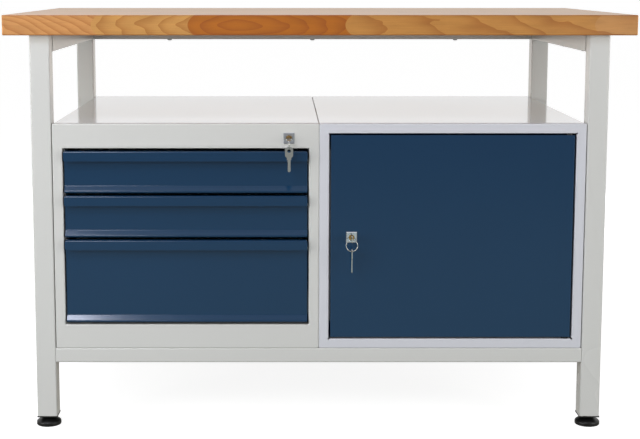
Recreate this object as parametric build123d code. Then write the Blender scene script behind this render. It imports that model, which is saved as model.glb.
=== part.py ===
from build123d import *

import os
from math import hypot, sqrt

# Steel workbench with a beech worktop, a unit of three drawers on the left and a
# cupboard on the right, hung between four square legs with levelling feet.
#
# All sizes are in millimetres. X points to the right, Y to the rear and Z up, so the
# front looks along -Y. The pieces are built about the middle of the worktop, with the
# floor at Z = 0. In the finished files the origin is under the middle of the whole
# outline, hanging keys included, so the bench stands MIDDLE_SHIFT further back.

MIDDLE_SHIFT = 12.5

# ---- Worktop -----------------------------------------------------------------------
WORKTOP_WIDTH = 1250.0
WORKTOP_DEPTH = 700.0
WORKTOP_THICKNESS = 40.0
WORKTOP_LEVEL = 840.0
WORKTOP_EDGE = 2.0
SIDE_OVERHANG = 50.0
FRONT_OVERHANG = 15.0

# ---- Frame of square tube ----------------------------------------------------------
LEG = 40.0
TUBE_WALL = 2.0
TUBE_RADIUS = 3.0
LEG_BOTTOM = 22.0
TOP_RAIL = 35.0
BOTTOM_RAIL_DEPTH = 40.0
BOTTOM_RAIL_HEIGHT = 30.0
BOTTOM_RAIL_LEVEL = 165.0

SCREW_RADIUS = 2.5
SCREW_HEAD_RADIUS = 6.0
SCREW_HEAD = 3.5
SCREW_GRIP = 24.0
SCREW_PLAY = 0.1
SCREW_PITCH_DEEP = 200.0
SCREW_PITCH_LONG = 350.0

# ---- Levelling feet ----------------------------------------------------------------
PLUG_FLANGE = 2.5
PLUG_FLANGE_LIP = 0.5
PLUG_DEPTH = 25.0
PLUG_FIT = 0.1
STEM_RADIUS = 5.0
STEM_PLAY = 0.08
STEM_ABOVE_PLUG = 8.0
STEM_SOCKET = 6.0
PAD_RADIUS = 25.0
PAD_RIM = 4.5
PAD_BEVEL = 1.5
PAD_NECK_RADIUS = 11.0
PAD_HEX_WIDTH = 19.0
PAD_HEX_HEIGHT = 6.0

# ---- Sheet-metal units -------------------------------------------------------------
SHEET = 1.2
BEND = 2.5
UNIT_FROM_FRAME_REAR = 10.0
UNIT_LEG_GAP = 1.5
UNIT_MIDDLE_GAP = 1.0
FRAME_DEPTH = 20.0
FRAME_EDGE = 2.0
BACK_FLANGE = 12.0
FLOOR_RISE = 19.5

BOLT_RADIUS = 3.0
BOLT_HEAD_RADIUS = 5.0
BOLT_HEAD = 4.0
BOLT_PLAY = 0.2
BOLT_REACH = 8.0
BOLT_FROM_SIDE = 60.0
BOLT_FROM_RAIL_FACE = 30.0

# ---- Drawer unit -------------------------------------------------------------------
STILE = 20.0
TOP_BAND = 49.5
BOTTOM_BAND = 49.5
DRAWER_NAMES = ("bottom", "middle", "top")
FRONT_HEIGHTS = (170.0, 85.0, 85.0)
DRAWER_GAP = 5.0
FRONT_SIDE_GAP = 3.0
FRONT_INSET = 4.0
FRONT_FLANGE = 16.0
FRONT_CORNER = 4.0
LIP_PROJECTION = 14.0
LIP_HEIGHT = 20.0
LIP_HEM = 6.0
STRIP_HEIGHT = 14.0
STRIP_PROJECTION = 10.0

BOX_ABOVE_FRONT_EDGE = 8.0
BOX_BELOW_FRONT_TOP = 13.0
BOX_HEM = 8.0

SLIDE_FROM_REAR = 36.0
SLIDE_BEHIND_FRONT = 24.0
SLIDE_HEIGHT = 45.0
SLIDE_THICKNESS = 12.7
SLIDE_ABOVE_FRONT_EDGE = 12.0
SLIDE_SHEET = 1.2
SLIDE_BEND = 1.0
BALL_RACE = 3.3
BALL_PLAY = 0.3
OUTER_LIP_GAP = 0.7
MIDDLE_WEB_AT = 3.0
MIDDLE_LIP_GAP = 1.9
INNER_LIP_AT = 6.2
CAGE_WIDTH = 2.8
CAGE_LENGTH = 170.0
POST_WIDTH = 36.0
FRONT_POST_AT = 35.0
REAR_POST_FROM_REAR = 70.0

# ---- Cam locks and their keys ------------------------------------------------------
LOCK_PLATE = 22.0
LOCK_PLATE_THICKNESS = 2.5
LOCK_PLATE_BEVEL = 1.2
LOCK_BOSS_RADIUS = 8.5
LOCK_BOSS = 1.2
BARREL_RADIUS = 8.0
BARREL_LENGTH = 22.0
BARREL_PLAY = 0.2
PLUG_RADIUS = 6.0
PLUG_PLAY = 0.05
PLUG_RECESS = 0.5
CAM_GAP = 0.2
CAM_THICKNESS = 2.0

KEY_THICKNESS = 2.0
KEY_PLAY = 0.15
BOW_LENGTH = 22.0
BOW_WIDTH = 16.0
BOW_CORNER = 6.0
BOW_HOLE_RADIUS = 3.5
BOW_HOLE_AT = 8.0
NECK_LENGTH = 4.0
NECK_WIDTH = 9.0
BLADE_LENGTH = 24.0
BLADE_WIDTH = 6.0
BLADE_TIP = 2.0
BIT_DEPTH = 0.9
BIT_PITCH = 4.5
BIT_COUNT = 4

RING_RADIUS = 11.5
RING_RADIAL = 1.6
RING_AXIAL = 2.0
RING_PLAY = 0.15

# ---- Central locking of the drawers ------------------------------------------------
DRAWER_LOCK_FROM_EDGE = 40.0
DRAWER_LOCK_ABOVE_EDGE = 21.0
CRANK_LIFT = 8.0
CRANK_PIN_RADIUS = 2.0
CRANK_PIN_PLAY = 0.4
CRANK_DISC_RADIUS = 8.0
BAR_BEHIND_CAM = 1.5
BAR_THICKNESS = 2.0
BAR_WIDTH = 14.0
BAR_FROM_WALL = 2.3
BAR_END = 8.0
ARM_HEIGHT = 11.0
ARM_END = 4.0
BAR_GUIDE_HEIGHT = 12.0
BAR_GUIDE_WALL = 3.0
BAR_GUIDE_PLAY = 0.3
BAR_GUIDE_BELOW_TAB = 42.0
CATCH_THICKNESS = 1.5
CATCH_FROM_SIDE = 5.0
CATCH_FOOT = 2.5
CATCH_BELOW_TOP = 5.0
CATCH_HEIGHT = 13.0
CATCH_BEHIND_BAR = 6.0
CATCH_NOTCH = 6.0
CATCH_NOTCH_HEIGHT = 8.0
TAB_HEIGHT = 5.0
TAB_BELOW_CATCH = 2.0
TAB_PAST_CATCH = 2.0

# ---- Cupboard ----------------------------------------------------------------------
FRAME_FACE = 19.5
CORNER_RELIEF = 1.8
DOOR_GAP = 3.5
DOOR_THICKNESS = 18.0
DOOR_LIP = 12.0
DOOR_EDGE = 1.5
PIVOT_FROM_EDGE = 10.0
PIVOT_FROM_FACE = 8.0
PIVOT_RADIUS = 3.0
PIVOT_PLAY = 0.06
PIVOT_HEAD_RADIUS = 5.0
PIVOT_HEAD = 2.0
PIVOT_REACH = 8.0
BUSH_RADIUS = 5.0
BUSH_FLANGE_RADIUS = 7.0
BUSH_DEPTH = 6.0
BUSH_END_PLAY = 0.3
STIFFENER_FACE = 36.0
STIFFENER_FOOT = 14.0
STIFFENER_RISE = 13.0
STIFFENER_SHORT = 45.0
DOOR_LOCK_FROM_EDGE = 42.0
TONGUE_LENGTH = 40.0
TONGUE_WIDTH = 14.0
STRIKE_HEIGHT = 354.0
STRIKE_THICKNESS = 1.5
STRIKE_REACH = 16.0
STRIKE_FOOT = 12.0
BUMPER_RADIUS = 5.0
BUMPER_PLAY = 0.3
BUMPER_FROM_END = 30.0

SLOT_FIRST = 81.0
SLOT_PITCH = 32.0
SLOT_COUNT = 10
SLOT_WIDTH = 12.0
SLOT_HEIGHT = 3.0
SLOT_ROW_FRONT = 120.0
SLOT_ROW_FROM_REAR = 120.0
SHELF_SLOT = 4
SHELF_FRONT = 45.0
SHELF_FROM_REAR = 25.0
SHELF_SIDE_GAP = 1.0
SHELF_EDGE = 20.0
CLIP_REACH = 9.0
CLIP_HEIGHT = 4.0
CLIP_PLAY = 0.2

# ---- Places that follow from the sizes ---------------------------------------------
FRAME_X = WORKTOP_WIDTH / 2 - SIDE_OVERHANG
FRAME_Y = WORKTOP_DEPTH / 2 - FRONT_OVERHANG
INNER_X = FRAME_X - LEG
INNER_Y = FRAME_Y - LEG
WORKTOP_UNDERSIDE = WORKTOP_LEVEL - WORKTOP_THICKNESS
FRONT = -FRAME_Y
UNIT_DEPTH = 2 * FRAME_Y - UNIT_FROM_FRAME_REAR
SLIDE_LENGTH = UNIT_DEPTH - SLIDE_BEHIND_FRONT - SLIDE_FROM_REAR
BOX_DEPTH = SLIDE_LENGTH
REAR_POST_AT = UNIT_DEPTH - REAR_POST_FROM_REAR
SLOT_ROW_REAR = UNIT_DEPTH - SLOT_ROW_FROM_REAR
SHELF_DEPTH = UNIT_DEPTH - SHELF_FRONT - SHELF_FROM_REAR

OPENING_HEIGHT = sum(FRONT_HEIGHTS) + (len(FRONT_HEIGHTS) + 1) * DRAWER_GAP
UNIT_HEIGHT = BOTTOM_BAND + OPENING_HEIGHT + TOP_BAND
UNIT_WIDTH = (2 * INNER_X - 2 * UNIT_LEG_GAP - UNIT_MIDDLE_GAP) / 2
UNIT_LOW = BOTTOM_RAIL_LEVEL
UNIT_HIGH = UNIT_LOW + UNIT_HEIGHT
UNIT_FLOOR = UNIT_LOW + FLOOR_RISE
UNIT_REAR = FRONT + UNIT_DEPTH
FRAME_REAR = FRONT + FRAME_DEPTH

DRAWER_UNIT_X = (-INNER_X + UNIT_LEG_GAP, -INNER_X + UNIT_LEG_GAP + UNIT_WIDTH)
CUPBOARD_X = (INNER_X - UNIT_LEG_GAP - UNIT_WIDTH, INNER_X - UNIT_LEG_GAP)

OPENING_X = (DRAWER_UNIT_X[0] + STILE, DRAWER_UNIT_X[1] - STILE)
OPENING_Z = (UNIT_LOW + BOTTOM_BAND, UNIT_HIGH - TOP_BAND)
PANEL_FACE = FRONT + FRONT_INSET
PANEL_BACK = PANEL_FACE + SHEET
FRONT_X = (OPENING_X[0] + FRONT_SIDE_GAP, OPENING_X[1] - FRONT_SIDE_GAP)
SLIDE_Y = (FRONT + SLIDE_BEHIND_FRONT, FRONT + SLIDE_BEHIND_FRONT + SLIDE_LENGTH)

PLUG_FACE = -(LOCK_PLATE_THICKNESS + LOCK_BOSS - PLUG_RECESS)
PLUG_REAR = BARREL_LENGTH + CAM_GAP
CAM_REAR = PLUG_REAR + CAM_THICKNESS
KEY_HOLE_Y = PLUG_FACE - NECK_LENGTH - BOW_LENGTH + BOW_HOLE_AT

DRAWER_LOCK_X = OPENING_X[1] - DRAWER_LOCK_FROM_EDGE
DRAWER_LOCK_Z = OPENING_Z[1] + DRAWER_LOCK_ABOVE_EDGE
BAR_Y = (FRONT + CAM_REAR + BAR_BEHIND_CAM, FRONT + CAM_REAR + BAR_BEHIND_CAM + BAR_THICKNESS)
BAR_RIGHT = DRAWER_UNIT_X[1] - SHEET - BAR_FROM_WALL
BAR_X = (BAR_RIGHT - BAR_WIDTH, BAR_RIGHT)
CATCH_X = (FRONT_X[1] - CATCH_FROM_SIDE - CATCH_THICKNESS, FRONT_X[1] - CATCH_FROM_SIDE)

DOORWAY_X = (CUPBOARD_X[0] + FRAME_FACE, CUPBOARD_X[1] - FRAME_FACE)
DOORWAY_Z = (UNIT_LOW + FRAME_FACE, UNIT_HIGH - FRAME_FACE)
DOOR_X = (DOORWAY_X[0] + DOOR_GAP, DOORWAY_X[1] - DOOR_GAP)
DOOR_Z = (DOORWAY_Z[0] + DOOR_GAP, DOORWAY_Z[1] - DOOR_GAP)
DOOR_MIDDLE_Z = (DOOR_Z[0] + DOOR_Z[1]) / 2
DOOR_REAR = FRONT + DOOR_THICKNESS
PIVOT = (DOOR_X[1] - PIVOT_FROM_EDGE, FRONT + PIVOT_FROM_FACE)
DOOR_LOCK_X = DOOR_X[0] + DOOR_LOCK_FROM_EDGE

SIDES = (-1, 1)
DIRECTIONS = {"x": (1, 0, 0), "y": (0, 1, 0), "z": (0, 0, 1)}
ACROSS = {"x": Plane.YZ, "y": Plane.XZ, "z": Plane.XY}
ALONG = {"x": Axis.X, "y": Axis.Y, "z": Axis.Z}


# ---- Shapes that many pieces share -------------------------------------------------
def block(x, y, z):
    """Box that fills three spans, each a pair of ends in either order."""
    spans = (x, y, z)
    middle = [(a + b) / 2 for a, b in spans]
    return Pos(*middle) * Box(*[abs(b - a) for a, b in spans])


def inset(span, amount):
    """The span made shorter by an amount at each end."""
    return min(span) + amount, max(span) - amount


def rod(along, across, radius, span):
    """Round bar along an axis; `across` places it on the other two, in X, Y, Z order."""
    middle = sum(span) / 2
    bar = Cylinder(radius, abs(span[1] - span[0]))
    if along == "x":
        return Pos(middle, *across) * Rot(0, 90, 0) * bar
    if along == "y":
        return Pos(across[0], middle, across[1]) * Rot(90, 0, 0) * bar
    return Pos(*across, middle) * bar


def tube(x, y, z, along):
    """Rectangular steel tube that fills three spans and runs along one axis."""
    spans = {"x": x, "y": y, "z": z}
    outer = fillet(block(x, y, z).edges().filter_by(ALONG[along]), TUBE_RADIUS)
    bore = {k: s if k == along else inset(s, TUBE_WALL) for k, s in spans.items()}
    return outer - block(**bore)


def bent_sheet(points, along, span, thickness=SHEET, bend=BEND):
    """Folded sheet of one section, whose middle line runs through the points."""
    section = trace(FilletPolyline(*points, radius=bend), line_width=thickness)
    start = [min(span) * d for d in DIRECTIONS[along]]
    placed = Pos(*start) * (ACROSS[along] * section)
    return extrude(placed, amount=abs(span[1] - span[0]), dir=DIRECTIONS[along])


# ---- Frame, worktop and feet -------------------------------------------------------
def rail_screw_places():
    """Centres of the worktop screws: three in each side rail, three in the rear one."""
    rail_x = INNER_X + TOP_RAIL / 2
    rail_y = FRAME_Y - TOP_RAIL / 2
    steps = (-1, 0, 1)
    side = [(s * rail_x, n * SCREW_PITCH_DEEP) for s in SIDES for n in steps]
    return side + [(n * SCREW_PITCH_LONG, rail_y) for n in steps]


def unit_bolt_places():
    """Centres of the bolts that hold both units down on the front and rear rails."""
    columns = [x for unit in (DRAWER_UNIT_X, CUPBOARD_X) for x in inset(unit, BOLT_FROM_SIDE)]
    row = FRAME_Y - BOLT_FROM_RAIL_FACE
    return [(x, s * row) for x in columns for s in SIDES]


def drill(body, places, radius, span):
    """The body with an upright hole at each place."""
    for place in places:
        body -= rod("z", place, radius, span)
    return body


def legs():
    """Four legs of square tube, open at the foot for their end plugs."""
    height = (LEG_BOTTOM, WORKTOP_UNDERSIDE)
    parts = {}
    for row, sy in (("front", -1), ("rear", 1)):
        for side, sx in (("left", -1), ("right", 1)):
            spans = (sx * INNER_X, sx * FRAME_X), (sy * INNER_Y, sy * FRAME_Y)
            parts[f"leg_{row}_{side}"] = tube(*spans, height, "z")
    return parts


def rails():
    """Rails welded between the legs, drilled for the worktop screws and unit bolts."""
    wide, deep = (-INNER_X, INNER_X), (-INNER_Y, INNER_Y)
    top = (WORKTOP_UNDERSIDE - TOP_RAIL, WORKTOP_UNDERSIDE)
    low = (BOTTOM_RAIL_LEVEL - BOTTOM_RAIL_HEIGHT, BOTTOM_RAIL_LEVEL)
    top_x = (INNER_X, INNER_X + TOP_RAIL)
    low_x = (FRAME_X, FRAME_X - BOTTOM_RAIL_DEPTH)
    low_y = (FRAME_Y, FRAME_Y - BOTTOM_RAIL_DEPTH)
    top_side = [tube([s * x for x in top_x], deep, top, "y") for s in SIDES]
    top_rear = tube(wide, (FRAME_Y - TOP_RAIL, FRAME_Y), top, "x")
    bottom_side = [tube([s * x for x in low_x], deep, low, "y") for s in SIDES]
    bottom_long = [tube(wide, [s * y for y in low_y], low, "x") for s in SIDES]

    screw_hole = SCREW_RADIUS + SCREW_PLAY
    screws = rail_screw_places()
    upper_wall = (low[1] - 2 * TUBE_WALL, low[1] + TUBE_WALL)
    bolt_hole = BOLT_RADIUS + BOLT_PLAY
    bolts = unit_bolt_places()
    return {
        "top_side_rails": [drill(r, screws, screw_hole, top) for r in top_side],
        "top_rear_rail": drill(top_rear, screws, screw_hole, top),
        "bottom_side_rails": bottom_side,
        "bottom_long_rails": [drill(r, bolts, bolt_hole, upper_wall) for r in bottom_long],
    }


def worktop():
    """Solid worktop with eased edges and blind pilot holes, and the screws in them."""
    x, y = WORKTOP_WIDTH / 2, WORKTOP_DEPTH / 2
    board = block((-x, x), (-y, y), (WORKTOP_UNDERSIDE, WORKTOP_LEVEL))
    board = fillet(board.edges(), WORKTOP_EDGE)
    places = rail_screw_places()
    pilot = (WORKTOP_UNDERSIDE - WORKTOP_EDGE, WORKTOP_UNDERSIDE + SCREW_GRIP + 1)
    board = drill(board, places, SCREW_RADIUS + SCREW_PLAY, pilot)
    seat = WORKTOP_UNDERSIDE - TOP_RAIL
    shank = (seat, WORKTOP_UNDERSIDE + SCREW_GRIP)
    screws = [
        rod("z", place, SCREW_RADIUS, shank)
        + rod("z", place, SCREW_HEAD_RADIUS, (seat - SCREW_HEAD, seat))
        for place in places
    ]
    return {"worktop": board, "worktop_screws": screws}


def leg_plugs():
    """Plastic plugs pressed into the legs, each with a bore for the foot's stem."""
    plugs = []
    half = LEG / 2
    for place in foot_places().values():
        x, y = place
        flange = half + PLUG_FLANGE_LIP
        body = half - TUBE_WALL - PLUG_FIT
        low = (LEG_BOTTOM - PLUG_FLANGE, LEG_BOTTOM)
        plug = block((x - flange, x + flange), (y - flange, y + flange), low)
        inside = (LEG_BOTTOM, LEG_BOTTOM + PLUG_DEPTH)
        plug += block((x - body, x + body), (y - body, y + body), inside)
        bore = (low[0], inside[1])
        plugs.append(plug - rod("z", place, STEM_RADIUS + STEM_PLAY, bore))
    return {"leg_end_plugs": plugs}


def foot_places():
    """Centre of each foot, under the middle of its leg."""
    x, y = FRAME_X - LEG / 2, FRAME_Y - LEG / 2
    return {
        "front_left": (-x, -y),
        "front_right": (x, -y),
        "rear_left": (-x, y),
        "rear_right": (x, y),
    }


def foot(place):
    """Levelling foot: a turned pad with a hexagon on top, and the stem in its socket."""
    top = LEG_BOTTOM - PLUG_FLANGE
    hex_low = top - PAD_HEX_HEIGHT
    half_section = Polyline(
        (0, 0),
        (PAD_RADIUS, 0),
        (PAD_RADIUS, PAD_RIM),
        (PAD_RADIUS - PAD_BEVEL, PAD_RIM + PAD_BEVEL),
        (PAD_NECK_RADIUS, hex_low),
        (0, hex_low),
        close=True,
    )
    pad = revolve(Plane.XZ * make_face(half_section), Axis.Z)
    hexagon = RegularPolygon(PAD_HEX_WIDTH / 2, 6, major_radius=False)
    pad += Pos(0, 0, hex_low) * extrude(hexagon, amount=PAD_HEX_HEIGHT)
    pad -= rod("z", (0, 0), STEM_RADIUS + STEM_PLAY, (STEM_SOCKET, top))
    stem_top = LEG_BOTTOM + PLUG_DEPTH + STEM_ABOVE_PLUG
    stem = rod("z", (0, 0), STEM_RADIUS, (STEM_SOCKET, stem_top))
    return [Pos(*place, 0) * pad, Pos(*place, 0) * stem]


def feet():
    """The four levelling feet, each free to screw out of its plug."""
    return {f"foot_{name}": foot(place) for name, place in foot_places().items()}


# ---- Sheet-metal units -------------------------------------------------------------
def casing(unit_x):
    """Top and both sides of a unit, folded from one sheet, behind the front frame."""
    left, right = inset(unit_x, SHEET / 2)
    top = UNIT_HIGH - SHEET / 2
    points = (left, UNIT_LOW), (left, top), (right, top), (right, UNIT_LOW)
    return bent_sheet(points, "y", (FRAME_REAR, UNIT_REAR))


def unit_floor(unit_x):
    """Floor tray with its edges turned down to the rails, drilled for the bolts."""
    x, y = inset(unit_x, SHEET), (FRAME_REAR, UNIT_REAR - SHEET)
    tray = block(x, y, (UNIT_LOW, UNIT_FLOOR))
    tray -= block(inset(x, SHEET), inset(y, SHEET), (UNIT_LOW, UNIT_FLOOR - SHEET))
    skin = (UNIT_FLOOR - SHEET, UNIT_FLOOR)
    return drill(tray, unit_bolt_places(), BOLT_RADIUS + BOLT_PLAY, skin)


def unit_back(unit_x):
    """Back panel with three edges turned forward inside the casing."""
    x, z = inset(unit_x, SHEET), (UNIT_LOW, UNIT_HIGH - SHEET)
    y = (UNIT_REAR - SHEET - BACK_FLANGE, UNIT_REAR)
    shell = block(x, y, (UNIT_FLOOR, z[1]))
    shell = fillet(shell.edges().filter_by(Axis.Y).group_by(Axis.Z)[-1], BEND)
    inner = (UNIT_FLOOR, z[1] - SHEET)
    shell -= block(inset(x, SHEET), (y[0], UNIT_REAR - SHEET), inner)
    return shell + block(x, (UNIT_REAR - SHEET, UNIT_REAR), (z[0], UNIT_FLOOR))


def unit_bolts():
    """Bolts through the unit floors into the rails."""
    bolts = []
    for place in unit_bolt_places():
        shank = rod("z", place, BOLT_RADIUS, (UNIT_LOW - BOLT_REACH, UNIT_FLOOR))
        head = rod("z", place, BOLT_HEAD_RADIUS, (UNIT_FLOOR, UNIT_FLOOR + BOLT_HEAD))
        bolts.append(shank + head)
    return {"unit_bolts": bolts}


def front_frame(unit_x, opening_x, opening_z, outlines):
    """Plate with its outer edge and its opening's edge folded back, in welded members.

    Each outline is the corners of one member, as (x, z) pairs.
    """
    y, hollow_y = (FRONT, FRAME_REAR), (FRONT + SHEET, FRAME_REAR)
    unit_z = (UNIT_LOW, UNIT_HIGH)
    frame = block(unit_x, y, unit_z)
    frame = fillet(frame.edges().filter_by(Axis.Y), BEND + SHEET / 2)
    frame -= block(opening_x, y, opening_z)
    frame = fillet(frame.faces().sort_by(Axis.Y)[0].edges(), FRAME_EDGE)
    hollow = block(inset(unit_x, SHEET), hollow_y, inset(unit_z, SHEET))
    hollow -= block(inset(opening_x, -SHEET), hollow_y, inset(opening_z, -SHEET))
    frame -= hollow
    return [frame & front_prism(outline) for outline in outlines]


def front_prism(corners):
    """Prism as deep as the front frames, over an outline of (x, z) corners."""
    outline = make_face(Polyline(*corners, close=True))
    prism = extrude(ACROSS["y"] * outline, amount=FRAME_DEPTH, dir=DIRECTIONS["y"])
    return Pos(0, FRONT, 0) * prism


def rectangle_corners(x, z):
    """Four corners of a rectangle, as (x, z) pairs."""
    return (x[0], z[0]), (x[0], z[1]), (x[1], z[1]), (x[1], z[0])


def drawer_unit_frame():
    """Front frame of the drawer unit: two bands, two stiles and the lock's hole."""
    left, right = DRAWER_UNIT_X
    outlines = (
        rectangle_corners(DRAWER_UNIT_X, (OPENING_Z[1], UNIT_HIGH)),
        rectangle_corners(DRAWER_UNIT_X, (UNIT_LOW, OPENING_Z[0])),
        rectangle_corners((left, OPENING_X[0]), OPENING_Z),
        rectangle_corners((OPENING_X[1], right), OPENING_Z),
    )
    members = front_frame(DRAWER_UNIT_X, OPENING_X, OPENING_Z, outlines)
    barrel = (DRAWER_LOCK_X, DRAWER_LOCK_Z)
    members[0] -= rod("y", barrel, BARREL_RADIUS + BARREL_PLAY, (FRONT, FRAME_REAR))
    return members


def cupboard_frame():
    """Front frame of the cupboard: mitred members with relieved inner corners."""
    outer = rectangle_corners(CUPBOARD_X, (UNIT_LOW, UNIT_HIGH))
    inner = rectangle_corners(DOORWAY_X, DOORWAY_Z)
    outlines = [(outer[n - 1], outer[n], inner[n], inner[n - 1]) for n in range(4)]
    members = front_frame(CUPBOARD_X, DOORWAY_X, DOORWAY_Z, outlines)
    holes = [rod("y", corner, CORNER_RELIEF, (FRONT, FRAME_REAR)) for corner in inner]
    for edge, side in zip(DOORWAY_Z, SIDES):
        holes.append(rod("z", PIVOT, PIVOT_RADIUS + PIVOT_PLAY, (edge, edge + side * SHEET)))
    for hole in holes:
        members = [member - hole for member in members]
    return members


# ---- Telescopic slides -------------------------------------------------------------
def slide_posts():
    """Upright channels that carry the slides clear of the stiles."""
    walls = inset(DRAWER_UNIT_X, SHEET)
    height = (UNIT_FLOOR, UNIT_HIGH - SHEET - BEND)
    posts = []
    for wall, face in zip(walls, OPENING_X):
        web = face + (SHEET / 2 if face < wall else -SHEET / 2)
        for start in (FRONT_POST_AT, REAR_POST_AT):
            y0, y1 = inset((FRONT + start, FRONT + start + POST_WIDTH), SHEET / 2)
            points = (wall, y0), (web, y0), (web, y1), (wall, y1)
            posts.append(bent_sheet(points, "z", height))
    return {"drawer_slide_posts": posts}


def slide_channel(x_web, x_lip, z_middle, height):
    """One C-shaped member of a slide, with its lips on the far side of its web."""
    half = (height - SLIDE_SHEET) / 2
    toward = 1 if x_lip > x_web else -1
    web = x_web + toward * SLIDE_SHEET / 2
    low, high = z_middle - half, z_middle + half
    points = (x_lip, low), (web, low), (web, high), (x_lip, high)
    return bent_sheet(points, "y", SLIDE_Y, SLIDE_SHEET, SLIDE_BEND)


def slide(face, toward, z_middle):
    """Outer, middle and inner members between the unit (at `face`) and the drawer."""
    step = 2 * (SLIDE_SHEET + BALL_RACE)
    middle_height = SLIDE_HEIGHT - step
    inner_height = middle_height - step

    def x(distance):
        return face + toward * distance

    outer = slide_channel(x(0), x(SLIDE_THICKNESS - OUTER_LIP_GAP), z_middle, SLIDE_HEIGHT)
    middle_lip = x(SLIDE_THICKNESS - MIDDLE_LIP_GAP)
    middle = slide_channel(x(MIDDLE_WEB_AT), middle_lip, z_middle, middle_height)
    inner = slide_channel(x(SLIDE_THICKNESS), x(INNER_LIP_AT), z_middle, inner_height)

    cage_x = (middle_lip, middle_lip - toward * CAGE_WIDTH)
    rear = (SLIDE_Y[1] - CAGE_LENGTH, SLIDE_Y[1])
    front = (SLIDE_Y[0], SLIDE_Y[0] + CAGE_LENGTH)
    outside = (middle_height / 2, middle_height / 2 + BALL_RACE - BALL_PLAY)
    inside = [middle_height / 2 - SLIDE_SHEET - d for d in (0, BALL_RACE - BALL_PLAY)]
    cages = [
        block(cage_x, y, [z_middle + s * d for d in race])
        for y, race in ((rear, outside), (front, inside))
        for s in SIDES
    ]
    return outer, [middle, *cages], inner


# ---- Drawers -----------------------------------------------------------------------
def drawer_levels():
    """Lower and upper edge of each drawer front, from the bottom drawer up."""
    levels = {}
    low = OPENING_Z[0] + DRAWER_GAP
    for name, height in zip(DRAWER_NAMES, FRONT_HEIGHTS):
        levels[name] = (low, low + height)
        low += height + DRAWER_GAP
    return levels


def rounded_corner(x_edge, inward, y, z_edge, radius):
    """What is cut away to round a lower corner, seen from the front."""
    x = (x_edge, x_edge + inward * radius)
    z = (z_edge, z_edge + radius)
    return block(x, y, z) - rod("y", (x[1], z[1]), radius, y)


def drawer_front(z):
    """Folded front: finger lip on top, recessed panel, flared strip at the bottom."""
    low, high = z
    half = SHEET / 2
    panel = PANEL_FACE + half
    lip = PANEL_FACE - LIP_PROJECTION + half
    strip = panel - STRIP_PROJECTION
    lip_low = high - LIP_HEIGHT
    points = (
        (PANEL_FACE + FRONT_FLANGE, low + half),
        (strip, low + half),
        (panel, low + STRIP_HEIGHT),
        (panel, high - half),
        (lip, high - half),
        (lip, lip_low),
    )
    front = bent_sheet(points, "x", FRONT_X)
    front += block(FRONT_X, (lip - half, lip + half + SHEET), (lip_low, lip_low + LIP_HEM))
    for end in (FRONT_X[0], FRONT_X[1] - SHEET):
        flange = (PANEL_FACE + half, PANEL_FACE + FRONT_FLANGE)
        front += block((end, end + SHEET), flange, (low + half, high - half))

    outline = Pos(sum(FRONT_X) / 2, (low + high) / 2) * RectangleRounded(
        FRONT_X[1] - FRONT_X[0], high - low, FRONT_CORNER
    )
    depth = LIP_PROJECTION + FRONT_FLANGE
    prism = extrude(ACROSS["y"] * outline, amount=depth, dir=DIRECTIONS["y"])
    front &= Pos(0, PANEL_FACE - LIP_PROJECTION, 0) * prism
    lip_y = (lip - half, lip + half + SHEET)
    for x_edge, inward in zip(FRONT_X, (1, -1)):
        front -= rounded_corner(x_edge, inward, lip_y, lip_low, FRONT_CORNER)
    return [front, lock_catch(high)]


def lock_catch(front_top):
    """Notched plate behind the front; the locking bar's tab rises into its notch."""
    top = front_top - CATCH_BELOW_TOP
    low = top - CATCH_HEIGHT
    middle = sum(BAR_Y) / 2
    plate = block(CATCH_X, (PANEL_BACK, BAR_Y[1] + CATCH_BEHIND_BAR), (low, top))
    notch = (middle - CATCH_NOTCH / 2, middle + CATCH_NOTCH / 2)
    plate -= block(CATCH_X, notch, (low, low + CATCH_NOTCH_HEIGHT))
    foot_x = (CATCH_X[0] - CATCH_FOOT, CATCH_X[1])
    return plate + block(foot_x, (PANEL_BACK, PANEL_BACK + CATCH_THICKNESS), (low, top))


def drawer_box(z):
    """Open tray behind the front, with its top edges turned in."""
    x = inset(OPENING_X, SLIDE_THICKNESS)
    y = (PANEL_BACK, PANEL_BACK + BOX_DEPTH)
    low, high = z[0] + BOX_ABOVE_FRONT_EDGE, z[1] - BOX_BELOW_FRONT_TOP
    box = block(x, y, (low, high))
    box -= block(inset(x, SHEET), inset(y, SHEET), (low + SHEET, high - SHEET))
    return box - block(inset(x, BOX_HEM), inset(y, BOX_HEM), (high - SHEET, high))


def drawers():
    """Each drawer's front, box and slide members, and the slides' fixed members."""
    parts = {"drawer_slide_outer_members": []}
    for name, z in drawer_levels().items():
        slide_middle = z[0] + SLIDE_ABOVE_FRONT_EDGE + SLIDE_HEIGHT / 2
        pair = [slide(face, d, slide_middle) for face, d in zip(OPENING_X, (1, -1))]
        parts["drawer_slide_outer_members"] += [outer for outer, _, _ in pair]
        parts[f"{name}_drawer_front"] = drawer_front(z)
        parts[f"{name}_drawer_box"] = drawer_box(z)
        parts[f"{name}_drawer_runners"] = [inner for _, _, inner in pair]
        parts[f"{name}_slide_middle_members"] = [m for _, middle, _ in pair for m in middle]
    return parts


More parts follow.
